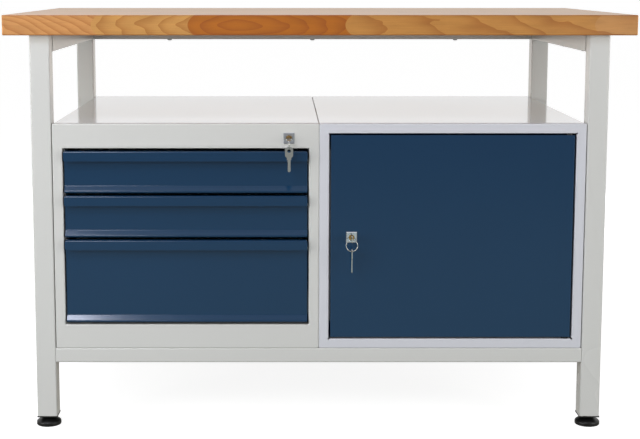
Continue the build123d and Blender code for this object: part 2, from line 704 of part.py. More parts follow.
# ---- Locks, keys and rings ---------------------------------------------------------
# A lock is built at the origin with its axis along Y, the panel's face at y = 0 and
# the key in the YZ plane, and is then put in its place.
def lock_body():
    """Square plate with a raised ring, and the barrel behind it."""
    half = LOCK_PLATE / 2
    plate = block((-half, half), (-LOCK_PLATE_THICKNESS, 0), (-half, half))
    plate = chamfer(plate.faces().sort_by(Axis.Y)[0].edges(), LOCK_PLATE_BEVEL)
    face = -(LOCK_PLATE_THICKNESS + LOCK_BOSS)
    body = plate + rod("y", (0, 0), LOCK_BOSS_RADIUS, (face, 0))
    body += rod("y", (0, 0), BARREL_RADIUS, (0, BARREL_LENGTH))
    return body - rod("y", (0, 0), PLUG_RADIUS + PLUG_PLAY, (face, BARREL_LENGTH))


def lock_plug():
    """Turning plug with the key slot."""
    plug = rod("y", (0, 0), PLUG_RADIUS, (PLUG_FACE, PLUG_REAR))
    x = KEY_THICKNESS / 2 + KEY_PLAY
    z = BLADE_WIDTH / 2 + KEY_PLAY
    return plug - block((-x, x), (PLUG_FACE, PLUG_FACE + BLADE_LENGTH + KEY_PLAY), (-z, z))


def crank_cam():
    """Disc on the plug's end, with the off-centre pin that lifts the locking bar."""
    reach = CRANK_LIFT / 2
    disc = rod("y", (0, 0), CRANK_DISC_RADIUS, (PLUG_REAR, CAM_REAR))
    pin_end = CAM_REAR + BAR_BEHIND_CAM + BAR_THICKNESS + CRANK_PIN_RADIUS
    return disc + rod("y", (-reach, -reach), CRANK_PIN_RADIUS, (CAM_REAR, pin_end))


def tongue_cam():
    """Latch tongue on the plug's end, hanging down when the door is unlocked."""
    x = TONGUE_WIDTH / 2
    tongue = block((-x, x), (PLUG_REAR, CAM_REAR), (x - TONGUE_LENGTH, 0))
    for z in (0, x - TONGUE_LENGTH):
        tongue += rod("y", (0, z), x, (PLUG_REAR, CAM_REAR))
    return tongue


def key():
    """Flat key in the YZ plane, bow to the front, with the bow's hole at the origin."""
    neck_at = BOW_LENGTH - BOW_HOLE_AT
    blade_at = neck_at + NECK_LENGTH
    tip = blade_at + BLADE_LENGTH
    half = BLADE_WIDTH / 2
    bow_middle = neck_at - BOW_LENGTH / 2
    outline = Pos(bow_middle, 0) * RectangleRounded(BOW_LENGTH, BOW_WIDTH, BOW_CORNER)
    outline -= Circle(BOW_HOLE_RADIUS)
    outline += Pos(neck_at + NECK_LENGTH / 2 - BLADE_TIP / 2, 0) * Rectangle(
        NECK_LENGTH + BLADE_TIP, NECK_WIDTH
    )
    bits = []
    for n in range(BIT_COUNT):
        middle = tip - BLADE_TIP - (n + 0.5) * BIT_PITCH
        bits += [(middle + BIT_PITCH / 2, half), (middle, half - BIT_DEPTH)]
    bits.append((tip - BLADE_TIP - BIT_COUNT * BIT_PITCH, half))
    blade = Polyline(
        (blade_at, -half),
        (tip - BLADE_TIP, -half),
        (tip, -half + BLADE_TIP),
        (tip, half - BLADE_TIP),
        *bits,
        (blade_at, half),
        close=True,
    )
    outline += make_face(blade)
    return extrude(ACROSS["x"] * outline, amount=KEY_THICKNESS / 2, both=True)


def key_ring():
    """Flat-section ring in the XZ plane, centred on the origin."""
    return revolve(Pos(RING_RADIUS, 0) * Rectangle(RING_RADIAL, RING_AXIAL), Axis.Y)


def ring_hang():
    """How far the wire's middle hangs below the middle of the hole that carries it."""
    return BOW_HOLE_RADIUS - hypot(RING_RADIAL, RING_AXIAL) / 2 - RING_PLAY


def door_key_set(place):
    """Key in the plug, ring through its bow and spare key on the ring, edge-on."""
    x, y, z = place
    hole = y + KEY_HOLE_Y
    ring_z = z - ring_hang() - RING_RADIUS
    spare_z = ring_z - RING_RADIUS - ring_hang()
    return {
        "door_key": Pos(x, hole, z) * key(),
        "door_key_ring": Pos(x, hole, ring_z) * key_ring(),
        "door_spare_key": Pos(x, hole, spare_z) * Rot(-90, 0, 0) * key(),
    }


def drawer_key_set(place):
    """The same keys with the bow level: the ring hangs over the end of the bow."""
    x, y, z = place
    hole = y + KEY_HOLE_Y
    half_key = KEY_THICKNESS / 2
    drop = RING_RADIUS - hypot(RING_RADIAL, RING_AXIAL) / 2 - RING_PLAY - half_key
    inner = sqrt((RING_RADIUS - RING_RADIAL / 2) ** 2 - (drop + half_key) ** 2)
    outer = sqrt((RING_RADIUS + RING_RADIAL / 2) ** 2 - (drop - half_key) ** 2)
    ring_y = hole - (inner + outer) / 2
    spare_z = z - drop - RING_RADIUS - ring_hang()
    return {
        "drawer_key": Pos(x, hole, z) * Rot(0, 90, 0) * key(),
        "drawer_key_ring": Pos(x, ring_y, z - drop) * Rot(0, 0, 90) * key_ring(),
        "drawer_spare_key": Pos(x, ring_y, spare_z) * Rot(0, 0, 90) * Rot(-90, 0, 0) * key(),
    }


def drawer_lock():
    """Lock in the drawer unit's top band, with the crank that works the bar."""
    at = Pos(DRAWER_LOCK_X, FRONT, DRAWER_LOCK_Z)
    return {
        "drawer_lock_body": at * lock_body(),
        "drawer_lock_plug": at * Rot(0, 90, 0) * lock_plug(),
        "drawer_lock_cam": at * crank_cam(),
        **drawer_key_set((DRAWER_LOCK_X, FRONT, DRAWER_LOCK_Z)),
    }


def tab_levels():
    """Lower and upper edge of each locking tab, at rest below its drawer's catch."""
    tops = [z[1] - CATCH_BELOW_TOP - CATCH_HEIGHT for z in drawer_levels().values()]
    return [(t - TAB_BELOW_CATCH - TAB_HEIGHT, t - TAB_BELOW_CATCH) for t in tops]


def locking_bar():
    """Upright bar with a tab for each drawer, and the slotted arm to the crank."""
    tabs = tab_levels()
    arm_middle = DRAWER_LOCK_Z - CRANK_LIFT / 2
    arm_z = (arm_middle - ARM_HEIGHT / 2, arm_middle + ARM_HEIGHT / 2)
    bar = block(BAR_X, BAR_Y, (tabs[0][0] - BAR_END, arm_z[1]))
    for z in tabs:
        bar += block((BAR_X[0], CATCH_X[0] - TAB_PAST_CATCH), BAR_Y, z)
    pin_far = DRAWER_LOCK_X - CRANK_LIFT / 2 * sqrt(2) - CRANK_PIN_RADIUS
    pin_near = DRAWER_LOCK_X - CRANK_LIFT / 2 + CRANK_PIN_RADIUS
    slot = inset((pin_far, pin_near), -CRANK_PIN_PLAY)
    bar += block((slot[0] - ARM_END, BAR_X[0]), BAR_Y, arm_z)
    reach = CRANK_PIN_RADIUS + CRANK_PIN_PLAY
    return bar - block(slot, BAR_Y, (arm_middle - reach, arm_middle + reach))


def bar_guides():
    """Two blocks behind the right stile, slotted for the bar to slide in."""
    x = (OPENING_X[1], DRAWER_UNIT_X[1] - SHEET)
    y = (FRAME_REAR, BAR_Y[1] + BAR_GUIDE_PLAY + BAR_GUIDE_WALL)
    guides = []
    for low, _ in tab_levels()[1:]:
        z = (low - BAR_GUIDE_BELOW_TAB, low - BAR_GUIDE_BELOW_TAB + BAR_GUIDE_HEIGHT)
        slot = block(inset(BAR_X, -BAR_GUIDE_PLAY), inset(BAR_Y, -BAR_GUIDE_PLAY), z)
        guides.append(block(x, y, z) - slot)
    return guides


# ---- Cupboard door and fittings ----------------------------------------------------
def cupboard_door():
    """Door pan: a face with its edges folded back and turned in behind."""
    y = (FRONT, DOOR_REAR)
    pan = block(DOOR_X, y, DOOR_Z)
    pan = fillet(pan.faces().sort_by(Axis.Y)[0].edges(), DOOR_EDGE)
    pan -= block(inset(DOOR_X, SHEET), inset(y, SHEET), inset(DOOR_Z, SHEET))
    pan -= block(inset(DOOR_X, DOOR_LIP), (DOOR_REAR - SHEET, DOOR_REAR), inset(DOOR_Z, DOOR_LIP))
    barrel = (DOOR_LOCK_X, DOOR_MIDDLE_Z)
    pan -= rod("y", barrel, BARREL_RADIUS + BARREL_PLAY, (FRONT, FRONT + SHEET))
    bush_hole = BUSH_RADIUS + PIVOT_PLAY
    return drill(pan, (PIVOT,), bush_hole, (DOOR_Z[0] - 1, DOOR_Z[1] + 1))


def door_stiffener():
    """Hat-section stiffener on the inside of the door's face."""
    middle = sum(DOOR_X) / 2
    foot_y = FRONT + SHEET * 1.5
    crest_y = FRONT + SHEET / 2 + STIFFENER_RISE
    near, far = STIFFENER_FACE / 2, STIFFENER_FACE / 2 + STIFFENER_FOOT
    points = (
        (middle - far, foot_y),
        (middle - near, foot_y),
        (middle - near, crest_y),
        (middle + near, crest_y),
        (middle + near, foot_y),
        (middle + far, foot_y),
    )
    return bent_sheet(points, "z", inset(DOOR_Z, STIFFENER_SHORT))


def door_pivots():
    """Fixed pins in the frame, and the flanged bushes that turn on them in the door."""
    pins, bushes = [], []
    for up, frame_edge, door_edge in zip(SIDES, DOORWAY_Z, DOOR_Z):
        hidden = frame_edge + up * SHEET
        inside = door_edge - up * PIVOT_REACH
        pin = rod("z", PIVOT, PIVOT_RADIUS, (hidden, inside))
        pins.append(pin + rod("z", PIVOT, PIVOT_HEAD_RADIUS, (hidden, hidden + up * PIVOT_HEAD)))
        collar = (door_edge, frame_edge - up * BUSH_END_PLAY)
        bush = rod("z", PIVOT, BUSH_FLANGE_RADIUS, collar)
        bush += rod("z", PIVOT, BUSH_RADIUS, (door_edge, door_edge - up * BUSH_DEPTH))
        bore = (collar[1], door_edge - up * BUSH_DEPTH)
        bushes.append(bush - rod("z", PIVOT, PIVOT_RADIUS + PIVOT_PLAY, bore))
    return {"door_pivot_pins": pins, "door_pivot_bushes": bushes}


def door_strike():
    """Stop strip behind the door's lock side, with the two bumpers it closes on."""
    x = (DOORWAY_X[0] - STRIKE_FOOT, DOORWAY_X[0] + STRIKE_REACH)
    y = (FRAME_REAR, FRAME_REAR + STRIKE_THICKNESS)
    z = (DOOR_MIDDLE_Z - STRIKE_HEIGHT / 2, DOOR_MIDDLE_Z + STRIKE_HEIGHT / 2)
    bumper_x = DOOR_X[0] + BUMPER_RADIUS
    bumper_y = (DOOR_REAR + BUMPER_PLAY, FRAME_REAR)
    bumpers = [
        rod("y", (bumper_x, level), BUMPER_RADIUS, bumper_y)
        for level in inset(z, BUMPER_FROM_END)
    ]
    return {"cupboard_strike": block(x, y, z), "door_bumpers": bumpers}


def door_lock():
    """Cam lock in the door, its tongue swinging behind the strike."""
    at = Pos(DOOR_LOCK_X, FRONT, DOOR_MIDDLE_Z)
    return {
        "door_lock_body": at * lock_body(),
        "door_lock_plug": at * lock_plug(),
        "door_lock_cam": at * tongue_cam(),
        **door_key_set((DOOR_LOCK_X, FRONT, DOOR_MIDDLE_Z)),
    }


def slot_places():
    """Middle of each shelf slot on a side wall, as (y, z), and the shelf's level."""
    rows = (FRONT + SLOT_ROW_FRONT, FRONT + SLOT_ROW_REAR)
    levels = [UNIT_LOW + SLOT_FIRST + n * SLOT_PITCH for n in range(SLOT_COUNT)]
    return [(y, z) for y in rows for z in levels], levels[SHELF_SLOT]


def cupboard_casing():
    """Casing with rows of slots in both sides for the shelf clips."""
    body = casing(CUPBOARD_X)
    half_y, half_z = SLOT_WIDTH / 2, SLOT_HEIGHT / 2
    for y, z in slot_places()[0]:
        body -= block(CUPBOARD_X, (y - half_y, y + half_y), (z - half_z, z + half_z))
    return body


def shelf():
    """Shelf with its edges turned down, and the four clips that carry it."""
    places, level = slot_places()
    inner_x = inset(CUPBOARD_X, SHEET)
    x = inset(inner_x, SHELF_SIDE_GAP)
    y = (FRONT + SHELF_FRONT, FRONT + SHELF_FRONT + SHELF_DEPTH)
    seat = level + CLIP_HEIGHT / 2
    tray = block(x, y, (seat, seat + SHELF_EDGE))
    tray -= block(inset(x, SHEET), inset(y, SHEET), (seat, seat + SHELF_EDGE - SHEET))
    half_y = SLOT_WIDTH / 2 - CLIP_PLAY
    half_z = SLOT_HEIGHT / 2 - CLIP_PLAY
    clips = []
    for wall, toward in zip(inner_x, (1, -1)):
        for row, z in places:
            if z != level:
                continue
            y_span = (row - half_y, row + half_y)
            foot_x = (wall, wall + toward * CLIP_REACH)
            clip = block(foot_x, y_span, (level - CLIP_HEIGHT / 2, seat))
            clip += block((wall, wall - toward * SHEET), y_span, (level - half_z, level + half_z))
            clips.append(clip)
    return {"cupboard_shelf": tray, "shelf_clips": clips}


# ---- The whole bench ---------------------------------------------------------------
def bench():
    """Every node of the bench with its solid, or its list of solids."""
    parts = {}
    parts.update(legs())
    parts.update(rails())
    parts.update(worktop())
    parts.update(leg_plugs())
    parts.update(feet())
    parts["drawer_unit_casing"] = casing(DRAWER_UNIT_X)
    parts["drawer_unit_floor"] = unit_floor(DRAWER_UNIT_X)
    parts["drawer_unit_back"] = unit_back(DRAWER_UNIT_X)
    parts["drawer_unit_front_frame"] = drawer_unit_frame()
    parts.update(slide_posts())
    parts.update(drawers())
    parts.update(drawer_lock())
    parts["drawer_locking_bar"] = locking_bar()
    parts["locking_bar_guides"] = bar_guides()
    parts["cupboard_casing"] = cupboard_casing()
    parts["cupboard_floor"] = unit_floor(CUPBOARD_X)
    parts["cupboard_back"] = unit_back(CUPBOARD_X)
    parts["cupboard_front_frame"] = cupboard_frame()
    parts["cupboard_door"] = cupboard_door()
    parts["door_stiffener"] = door_stiffener()
    parts.update(door_pivots())
    parts.update(door_strike())
    parts.update(door_lock())
    parts.update(shelf())
    parts.update(unit_bolts())
    return parts


os.makedirs("parts", exist_ok=True)
for node, shape in bench().items():
    pieces = shape if isinstance(shape, list) else [shape]
    solids = [Pos(0, MIDDLE_SHIFT, 0) * s for piece in pieces for s in piece.solids()]
    export_step(Compound(solids) if len(solids) > 1 else solids[0], f"parts/{node}.step")
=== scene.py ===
# %% Load the bench
import math

import bmesh
import bpy
import numpy as np
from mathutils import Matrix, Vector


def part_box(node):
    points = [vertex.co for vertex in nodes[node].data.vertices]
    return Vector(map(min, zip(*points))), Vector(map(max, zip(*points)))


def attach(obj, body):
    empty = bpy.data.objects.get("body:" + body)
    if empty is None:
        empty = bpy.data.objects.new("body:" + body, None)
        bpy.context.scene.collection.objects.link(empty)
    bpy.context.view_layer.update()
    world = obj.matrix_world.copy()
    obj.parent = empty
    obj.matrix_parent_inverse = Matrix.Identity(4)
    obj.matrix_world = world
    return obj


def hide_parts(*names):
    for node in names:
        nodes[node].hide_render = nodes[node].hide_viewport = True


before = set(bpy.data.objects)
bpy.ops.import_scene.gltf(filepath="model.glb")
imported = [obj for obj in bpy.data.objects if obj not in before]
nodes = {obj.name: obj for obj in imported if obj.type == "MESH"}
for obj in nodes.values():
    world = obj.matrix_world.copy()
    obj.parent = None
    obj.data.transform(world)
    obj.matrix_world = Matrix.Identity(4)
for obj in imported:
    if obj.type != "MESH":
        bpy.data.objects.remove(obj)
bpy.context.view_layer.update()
MM = 0.001

# %% [markdown]
# # A workshop bench with drawers, dressed in Blender
# The solids of the bench come ready made, each at its own place. This lesson adds what
# solids leave plain: paint, wood, plating and plastic, and the small turned, coiled and
# threaded pieces. A piece that moves rides on the body that carries it, so the drawers,
# the door, the locks and the keys still work when everything is dressed.

# %% [markdown]
# ## Node trees
# Paint, wood and plating are node trees. A few helpers keep them short: each adds a node
# or two, wires them and gives back the result. An effect that several materials share is
# a node group, built once with named sockets and set up anew in each material.

# %% Nodes, colours and groups
def put(tree, kind, inputs=None, **settings):
    """Adds a node; its inputs take plain values or the outputs of other nodes."""
    node = tree.nodes.new(kind)
    for name, value in settings.items():
        setattr(node, name, value)
    for name, value in (inputs or {}).items():
        socket = node.inputs[name]
        if isinstance(value, bpy.types.NodeSocket):
            tree.links.new(value, socket)
        else:
            socket.default_value = value
    return node


def calculate(tree, operation, first, second=0.0, third=0.0):
    """The result of a Math node."""
    node = put(tree, "ShaderNodeMath", {0: first, 1: second, 2: third}, operation=operation)
    return node.outputs[0]


def blend_colours(tree, share, first, second, kind="MIX"):
    """The result of a colour Mix node; share 0 gives the first colour."""
    node = put(tree, "ShaderNodeMix", {0: share, 6: first, 7: second},
               data_type="RGBA", blend_type=kind)
    return node.outputs[2]


def grey_level(tree, level):
    """The colour that has one number in all three channels."""
    node = put(tree, "ShaderNodeCombineColor", {"Red": level, "Green": level, "Blue": level})
    return node.outputs[0]


def linear(red, green, blue):
    """A screen colour, 0 to 255, as the linear values that shaders take."""
    parts = np.array([red, green, blue]) / 255
    parts = np.where(parts < 0.04045, parts / 12.92, ((parts + 0.055) / 1.055) ** 2.4)
    return (*parts.tolist(), 1.0)


def new_group(name, inputs, outputs):
    """An empty node group with named sockets, and its two end nodes."""
    tree = bpy.data.node_groups.new(name, "ShaderNodeTree")
    kinds = {"colour": "NodeSocketColor", "number": "NodeSocketFloat"}
    for label, kind, value in inputs:
        socket = tree.interface.new_socket(label, in_out="INPUT", socket_type=kinds[kind])
        socket.default_value = value
    for label, kind in outputs:
        tree.interface.new_socket(label, in_out="OUTPUT", socket_type=kinds[kind])
    start = tree.nodes.new("NodeGroupInput")
    end = tree.nodes.new("NodeGroupOutput")
    return tree, start.outputs, end


def finish_group(tree, end, results):
    """Wires a group's results to its named outputs."""
    for label, socket in results.items():
        tree.links.new(socket, end.inputs[label])
    print(tree.name, "nodes:", len(tree.nodes))


# %% [markdown]
# ## Powder coat
# The steel is sprayed with dry paint powder and baked. The skin that forms is smooth
# but not flat: it has shallow waves a few millimetres across, like orange peel, and
# its colour drifts very slightly. A flat colour would look like plastic film. Noise on
# the object's own coordinates gives both the waves and the drift, and one group serves
# every painted piece with its own colour.

# %% Powder coat group
tree, given, end = new_group(
    "Powder coat",
    [("Colour", "colour", (0.6, 0.6, 0.6, 1)), ("Roughness", "number", 0.35),
     ("Drift", "number", 0.04)],
    [("Colour", "colour"), ("Roughness", "number"), ("Height", "number")],
)
place = put(tree, "ShaderNodeTexCoord").outputs["Object"]
cloud = put(tree, "ShaderNodeTexNoise",
            {"Vector": place, "Scale": 2.2, "Detail": 3.0, "Roughness": 0.55})
waves = put(tree, "ShaderNodeTexNoise",
            {"Vector": place, "Scale": 330.0, "Detail": 2.0, "Roughness": 0.45})
dust = put(tree, "ShaderNodeTexNoise",
           {"Vector": place, "Scale": 1900.0, "Detail": 1.0, "Roughness": 0.5})
drift = calculate(tree, "MULTIPLY_ADD", cloud.outputs["Fac"], given["Drift"],
                  calculate(tree, "MULTIPLY_ADD", given["Drift"], -0.5, 1.0))
drift = calculate(tree, "MULTIPLY_ADD", dust.outputs["Fac"], 0.02,
                  calculate(tree, "SUBTRACT", drift, 0.01))
tint = blend_colours(tree, 1.0, given["Colour"], grey_level(tree, drift), "MULTIPLY")
gloss = calculate(tree, "MULTIPLY_ADD", cloud.outputs["Fac"], 0.08,
                  calculate(tree, "SUBTRACT", given["Roughness"], 0.04))
height = calculate(tree, "MULTIPLY_ADD", dust.outputs["Fac"], 0.06, waves.outputs["Fac"])
finish_group(tree, end, {"Colour": tint, "Roughness": gloss, "Height": height})
powder_coat = tree


# %% Materials
def new_material(name, **plain):
    """A material with a Principled shader whose constant sockets are set directly."""
    material = bpy.data.materials.new(name)
    material.use_nodes = True
    tree = material.node_tree
    shader = tree.nodes["Principled BSDF"]
    for label, value in plain.items():
        shader.inputs[label.replace("_", " ")].default_value = value
    return material, tree, shader


def surface(tree, shader, results, strength, distance):
    """Wires colour, roughness and a bump of the height to a Principled shader.

    The bump's distance is the height's full swing in metres, and its strength is the
    share of it that shows.
    """
    bump = put(tree, "ShaderNodeBump",
               {"Height": results["Height"], "Strength": strength, "Distance": distance})
    tree.links.new(results["Colour"], shader.inputs["Base Color"])
    tree.links.new(results["Roughness"], shader.inputs["Roughness"])
    tree.links.new(bump.outputs["Normal"], shader.inputs["Normal"])


def skinned(name, group, amounts, strength, distance, **plain):
    """A material whose colour, roughness and height come from a node group."""
    material, tree, shader = new_material(name, **plain)
    skin = put(tree, "ShaderNodeGroup", amounts, node_tree=group)
    surface(tree, shader, skin.outputs, strength, distance)
    return material


def dress(material, *names):
    """Gives a material to solids by their names."""
    for name in names:
        nodes[name].data.materials.clear()
        nodes[name].data.materials.append(material)
    print(material.name, "on solids:", len(names))


# %% Paints
def painted(name, colour, roughness, drift, peel, **plain):
    """Powder-coated steel of one colour; peel is how much of the waves shows."""
    amounts = {"Colour": linear(*colour), "Roughness": roughness, "Drift": drift}
    return skinned(name, powder_coat, amounts, peel, 0.12 * MM, **plain)


light_grey = painted("Light grey paint", (194, 194, 190), 0.26, 0.05, 0.35)
cool_grey = painted("Cool grey paint", (194, 195, 200), 0.26, 0.05, 0.35)
smooth_grey = painted("Smooth light grey paint", (213, 214, 215), 0.15, 0.04, 0.12,
                      Coat_Weight=0.6, Coat_Roughness=0.06)
blue = painted("Blue paint", (15, 48, 76), 0.14, 0.16, 0.25, Specular_IOR_Level=0.36)
dress(light_grey, "leg_front_left", "leg_front_right", "leg_rear_left", "leg_rear_right",
      "top_side_rails", "top_rear_rail", "bottom_side_rails", "bottom_long_rails",
      "drawer_unit_floor", "drawer_unit_back", "drawer_unit_front_frame",
      "cupboard_floor", "cupboard_back", "cupboard_shelf",
      "bottom_drawer_box", "middle_drawer_box", "top_drawer_box")
dress(smooth_grey, "drawer_unit_casing", "cupboard_casing")
dress(cool_grey, "cupboard_front_frame", "cupboard_strike")
dress(blue, "bottom_drawer_front", "middle_drawer_front", "top_drawer_front",
      "cupboard_door", "door_stiffener")

# %% [markdown]
# ## Beech worktop
# The top is glued from beech staves that run along the bench, each a few centimetres
# wide, with finger joints where one length ends and the next begins. Growth rings are
# cylinders round the tree's heart, so a board's faces show lines where they cut those
# cylinders: arches where the cut is nearly along a ring, close straight lines where it
# is across. Drawing rings in three dimensions, with the heart at another place and
# another lean for each stave, gives front, top and end grain that agree at the edges.
# The front stave is the one that is looked at, so its lengths have colours and leans of
# their own, from pale to the deep orange of heartwood. The top is painted greyer, a
# painted shade and sheen for the lower light and the glare it shows at a low angle, and
# the rounded edges of the front are darker.

# %% Stave numbers
LOW, HIGH = (np.array(corner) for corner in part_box("worktop"))
FRONT_Y, MIDDLE_Z = float(LOW[1]), float(LOW[2] + HIGH[2]) / 2
# The front stave's steps of colour run from its left end to just past its right end.
LEFT, PAST_RIGHT = float(LOW[0]), 0.03
SPAN = float(HIGH[0] - LOW[0]) + PAST_RIGHT
# How wide a stave is; sixteen make up the worktop's depth.
STAVE = 0.04375
# How long the lengths of a row are at least, and how much longer at most.
SHORTEST, LONGER = 0.33, 0.22
# How much further to the left each row starts than the one before it, and how far to
# the left all of them are counted from.
ROW_SHIFT, COUNT_FROM = 0.237, 9.0
# How far the front joints bow to the right, per squared metre of height off the middle.
BOW = 34.0
# The front stave's own lengths, from left to right: where each ends, its colour, and
# how its heart leans upwards, leans backwards and lies behind the face, 0.5 meaning none.
FRONT_LENGTHS = [(-0.454, (252, 183, 106), (0.96, 0.50, 0.94)),
                 (-0.262, (246, 184, 98), (0.50, 0.175, 0.452)),
                 (0.047, (212, 122, 10), (0.50, 0.175, 0.452)),
                 (0.538, (234, 168, 82), (0.55, 0.62, 0.575)),
                 (0.640, (236, 174, 100), (0.54, 0.55, 0.80))]
print("rows of staves:", round(float(HIGH[1] - LOW[1]) / STAVE))

# %% Rows and lengths
tree, given, end = new_group(
    "Stave", [], [("Row", "number"), ("Base", "colour"), ("Lean", "number"),
                  ("Back lean", "number"), ("Depth", "number"), ("Seam", "number")])
place = put(tree, "ShaderNodeTexCoord").outputs["Object"]
axes = put(tree, "ShaderNodeSeparateXYZ", {0: place}).outputs
across = calculate(tree, "DIVIDE", calculate(tree, "SUBTRACT", axes[1], FRONT_Y), STAVE)
row = calculate(tree, "FLOOR", across)
row_seed = put(tree, "ShaderNodeTexWhiteNoise", {"W": row}, noise_dimensions="1D")
length = calculate(tree, "MULTIPLY_ADD", row_seed.outputs["Value"], LONGER, SHORTEST)
shifted = calculate(tree, "MULTIPLY_ADD", row, ROW_SHIFT,
                    calculate(tree, "ADD", axes[0], COUNT_FROM))
along = calculate(tree, "DIVIDE", shifted, length)
pair = put(tree, "ShaderNodeCombineXYZ", {"X": row, "Y": calculate(tree, "FLOOR", along)})
seed = put(tree, "ShaderNodeTexWhiteNoise", {"Vector": pair.outputs[0]}, noise_dimensions="2D")
calm = put(tree, "ShaderNodeMix", {0: 0.32, 6: (0.5, 0.5, 0.5, 1), 7: seed.outputs["Color"]},
           data_type="RGBA").outputs[2]
common = blend_colours(tree, calculate(tree, "MULTIPLY", seed.outputs["Value"], 0.75),
                       linear(240, 178, 104), linear(218, 146, 76))
print("metres of a length:", SHORTEST, "to", round(SHORTEST + LONGER, 2))


# %% Front stave
def steps(tree, where, colours):
    """The front lengths' colours as steps along the stave."""
    ramp = put(tree, "ShaderNodeValToRGB", {0: where})
    ramp.color_ramp.interpolation = "CONSTANT"
    starts = [0.0] + [(end - LEFT) / SPAN for end, _, _ in FRONT_LENGTHS[:-1]]
    while len(ramp.color_ramp.elements) < len(starts):
        ramp.color_ramp.elements.new(0.5)
    for element, start, colour in zip(ramp.color_ramp.elements, starts, colours):
        element.position = start
        element.color = colour
    return ramp.outputs[0]


# The joints of the front stave are bowed: at mid height they lie further to the left.
height = calculate(tree, "SUBTRACT", axes[2], MIDDLE_Z)
bow = calculate(tree, "MULTIPLY", calculate(tree, "MULTIPLY", height, height), BOW)
where = calculate(tree, "SUBTRACT", calculate(tree, "SUBTRACT", axes[0], bow), LEFT)
where = calculate(tree, "DIVIDE", where, SPAN)
is_front = calculate(tree, "LESS_THAN", across, 1.0)
front_colour = steps(tree, where, [linear(*colour) for _, colour, _ in FRONT_LENGTHS])
front_figure = steps(tree, where, [(*figure, 1.0) for _, _, figure in FRONT_LENGTHS])
base = blend_colours(tree, is_front, common, front_colour)
figure = put(tree, "ShaderNodeSeparateColor",
             {0: blend_colours(tree, is_front, calm, front_figure)}).outputs
edge_across = calculate(tree, "MULTIPLY", calculate(tree, "PINGPONG", across, 0.5), STAVE)
edge_along = calculate(tree, "MULTIPLY", calculate(tree, "PINGPONG", along, 0.5), length)
seam_across = calculate(tree, "LESS_THAN", edge_across, 0.2 * MM)
seam_along = calculate(tree, "LESS_THAN", edge_along, 0.25 * MM)
seam_along = calculate(tree, "MULTIPLY", seam_along, calculate(tree, "SUBTRACT", 1.0, is_front))
seam = calculate(tree, "MAXIMUM", seam_across, seam_along)
finish_group(tree, end, {"Row": row, "Base": base, "Lean": figure[0], "Back lean": figure[1],
                         "Depth": figure[2], "Seam": seam})
stave = tree

# %% Rings, fibres and flecks
RINGS_PER_METRE = 95.0
beech, tree, shader = new_material("Beech", Specular_IOR_Level=0.45)
facts = put(tree, "ShaderNodeGroup", node_tree=stave).outputs
place = put(tree, "ShaderNodeTexCoord").outputs["Object"]
axes = put(tree, "ShaderNodeSeparateXYZ", {0: place}).outputs


def stretched_noise(scale, detail):
    """Noise whose cells are drawn out along the staves."""
    spread = put(tree, "ShaderNodeMapping", {"Vector": place, "Scale": scale})
    return put(tree, "ShaderNodeTexNoise", {"Vector": spread.outputs[0], "Scale": 1.0,
                                            "Detail": detail, "Roughness": 0.55}).outputs


def centred(value, amount):
    """A share from 0 to 1 moved to run from minus to plus half the amount."""
    return calculate(tree, "MULTIPLY", calculate(tree, "SUBTRACT", value, 0.5), amount)


bends = put(tree, "ShaderNodeSeparateColor",
            {0: stretched_noise((8.0, 26.0, 26.0), 1.6)["Color"]}).outputs
from_y = calculate(tree, "MULTIPLY_ADD", facts["Row"], -STAVE,
                   calculate(tree, "SUBTRACT", axes[1], FRONT_Y))
from_y = calculate(tree, "ADD", from_y, centred(facts["Depth"], 0.8))
from_y = calculate(tree, "MULTIPLY_ADD", axes[0], centred(facts["Back lean"], 0.8), from_y)
from_y = calculate(tree, "ADD", from_y, centred(bends[0], 0.024))
from_z = calculate(tree, "SUBTRACT", axes[2], MIDDLE_Z)
from_z = calculate(tree, "MULTIPLY_ADD", axes[0], centred(facts["Lean"], 1.2), from_z)
from_z = calculate(tree, "ADD", from_z, centred(bends[1], 0.022))
heart = put(tree, "ShaderNodeCombineXYZ", {"X": from_y, "Y": from_z})
radius = put(tree, "ShaderNodeVectorMath", {0: heart.outputs[0]}, operation="LENGTH")
ring = calculate(tree, "MULTIPLY", radius.outputs["Value"], RINGS_PER_METRE)
ring = calculate(tree, "FRACT", ring)
late_wood = calculate(tree, "POWER", ring, 2.2)
fibre = stretched_noise((14.0, 420.0, 420.0), 4.0)["Fac"]
cloud = stretched_noise((13.0, 60.0, 60.0), 3.0)["Fac"]
fleck = put(tree, "ShaderNodeTexVoronoi",
            {"Vector": put(tree, "ShaderNodeMapping",
                           {"Vector": place, "Scale": (150.0, 620.0, 620.0)}).outputs[0],
             "Scale": 1.0}).outputs["Distance"]
fleck = calculate(tree, "LESS_THAN", fleck, 0.20)
print("rings per metre:", RINGS_PER_METRE)

# %% Colours of the wood
EDGE_ROUND = 2 * MM
dark = blend_colours(tree, 1.0, facts["Base"], (0.62, 0.44, 0.26, 1), "MULTIPLY")
colour = blend_colours(tree, calculate(tree, "MULTIPLY", late_wood, 0.80), facts["Base"], dark)
streak = calculate(tree, "MULTIPLY_ADD", fibre, 0.34, 0.84)
streak = calculate(tree, "ADD", streak, centred(cloud, 0.55))
colour = blend_colours(tree, 1.0, colour, grey_level(tree, streak), "MULTIPLY")
colour = blend_colours(tree, calculate(tree, "MULTIPLY", fleck, 0.22), colour, dark)
colour = blend_colours(tree, calculate(tree, "MULTIPLY", facts["Seam"], 0.55), colour,
                       linear(96, 54, 22))
# Painted shade and sheen: the top face is mixed towards a dark grey that stands in for the
# lower light on the top and the grey glare it shows at a low angle.
painted_top_sheen = calculate(tree, "GREATER_THAN", axes[2], float(HIGH[2]) - 0.4 * MM)
colour = blend_colours(tree, calculate(tree, "MULTIPLY", painted_top_sheen, 0.36), colour,
                       linear(126, 128, 110))
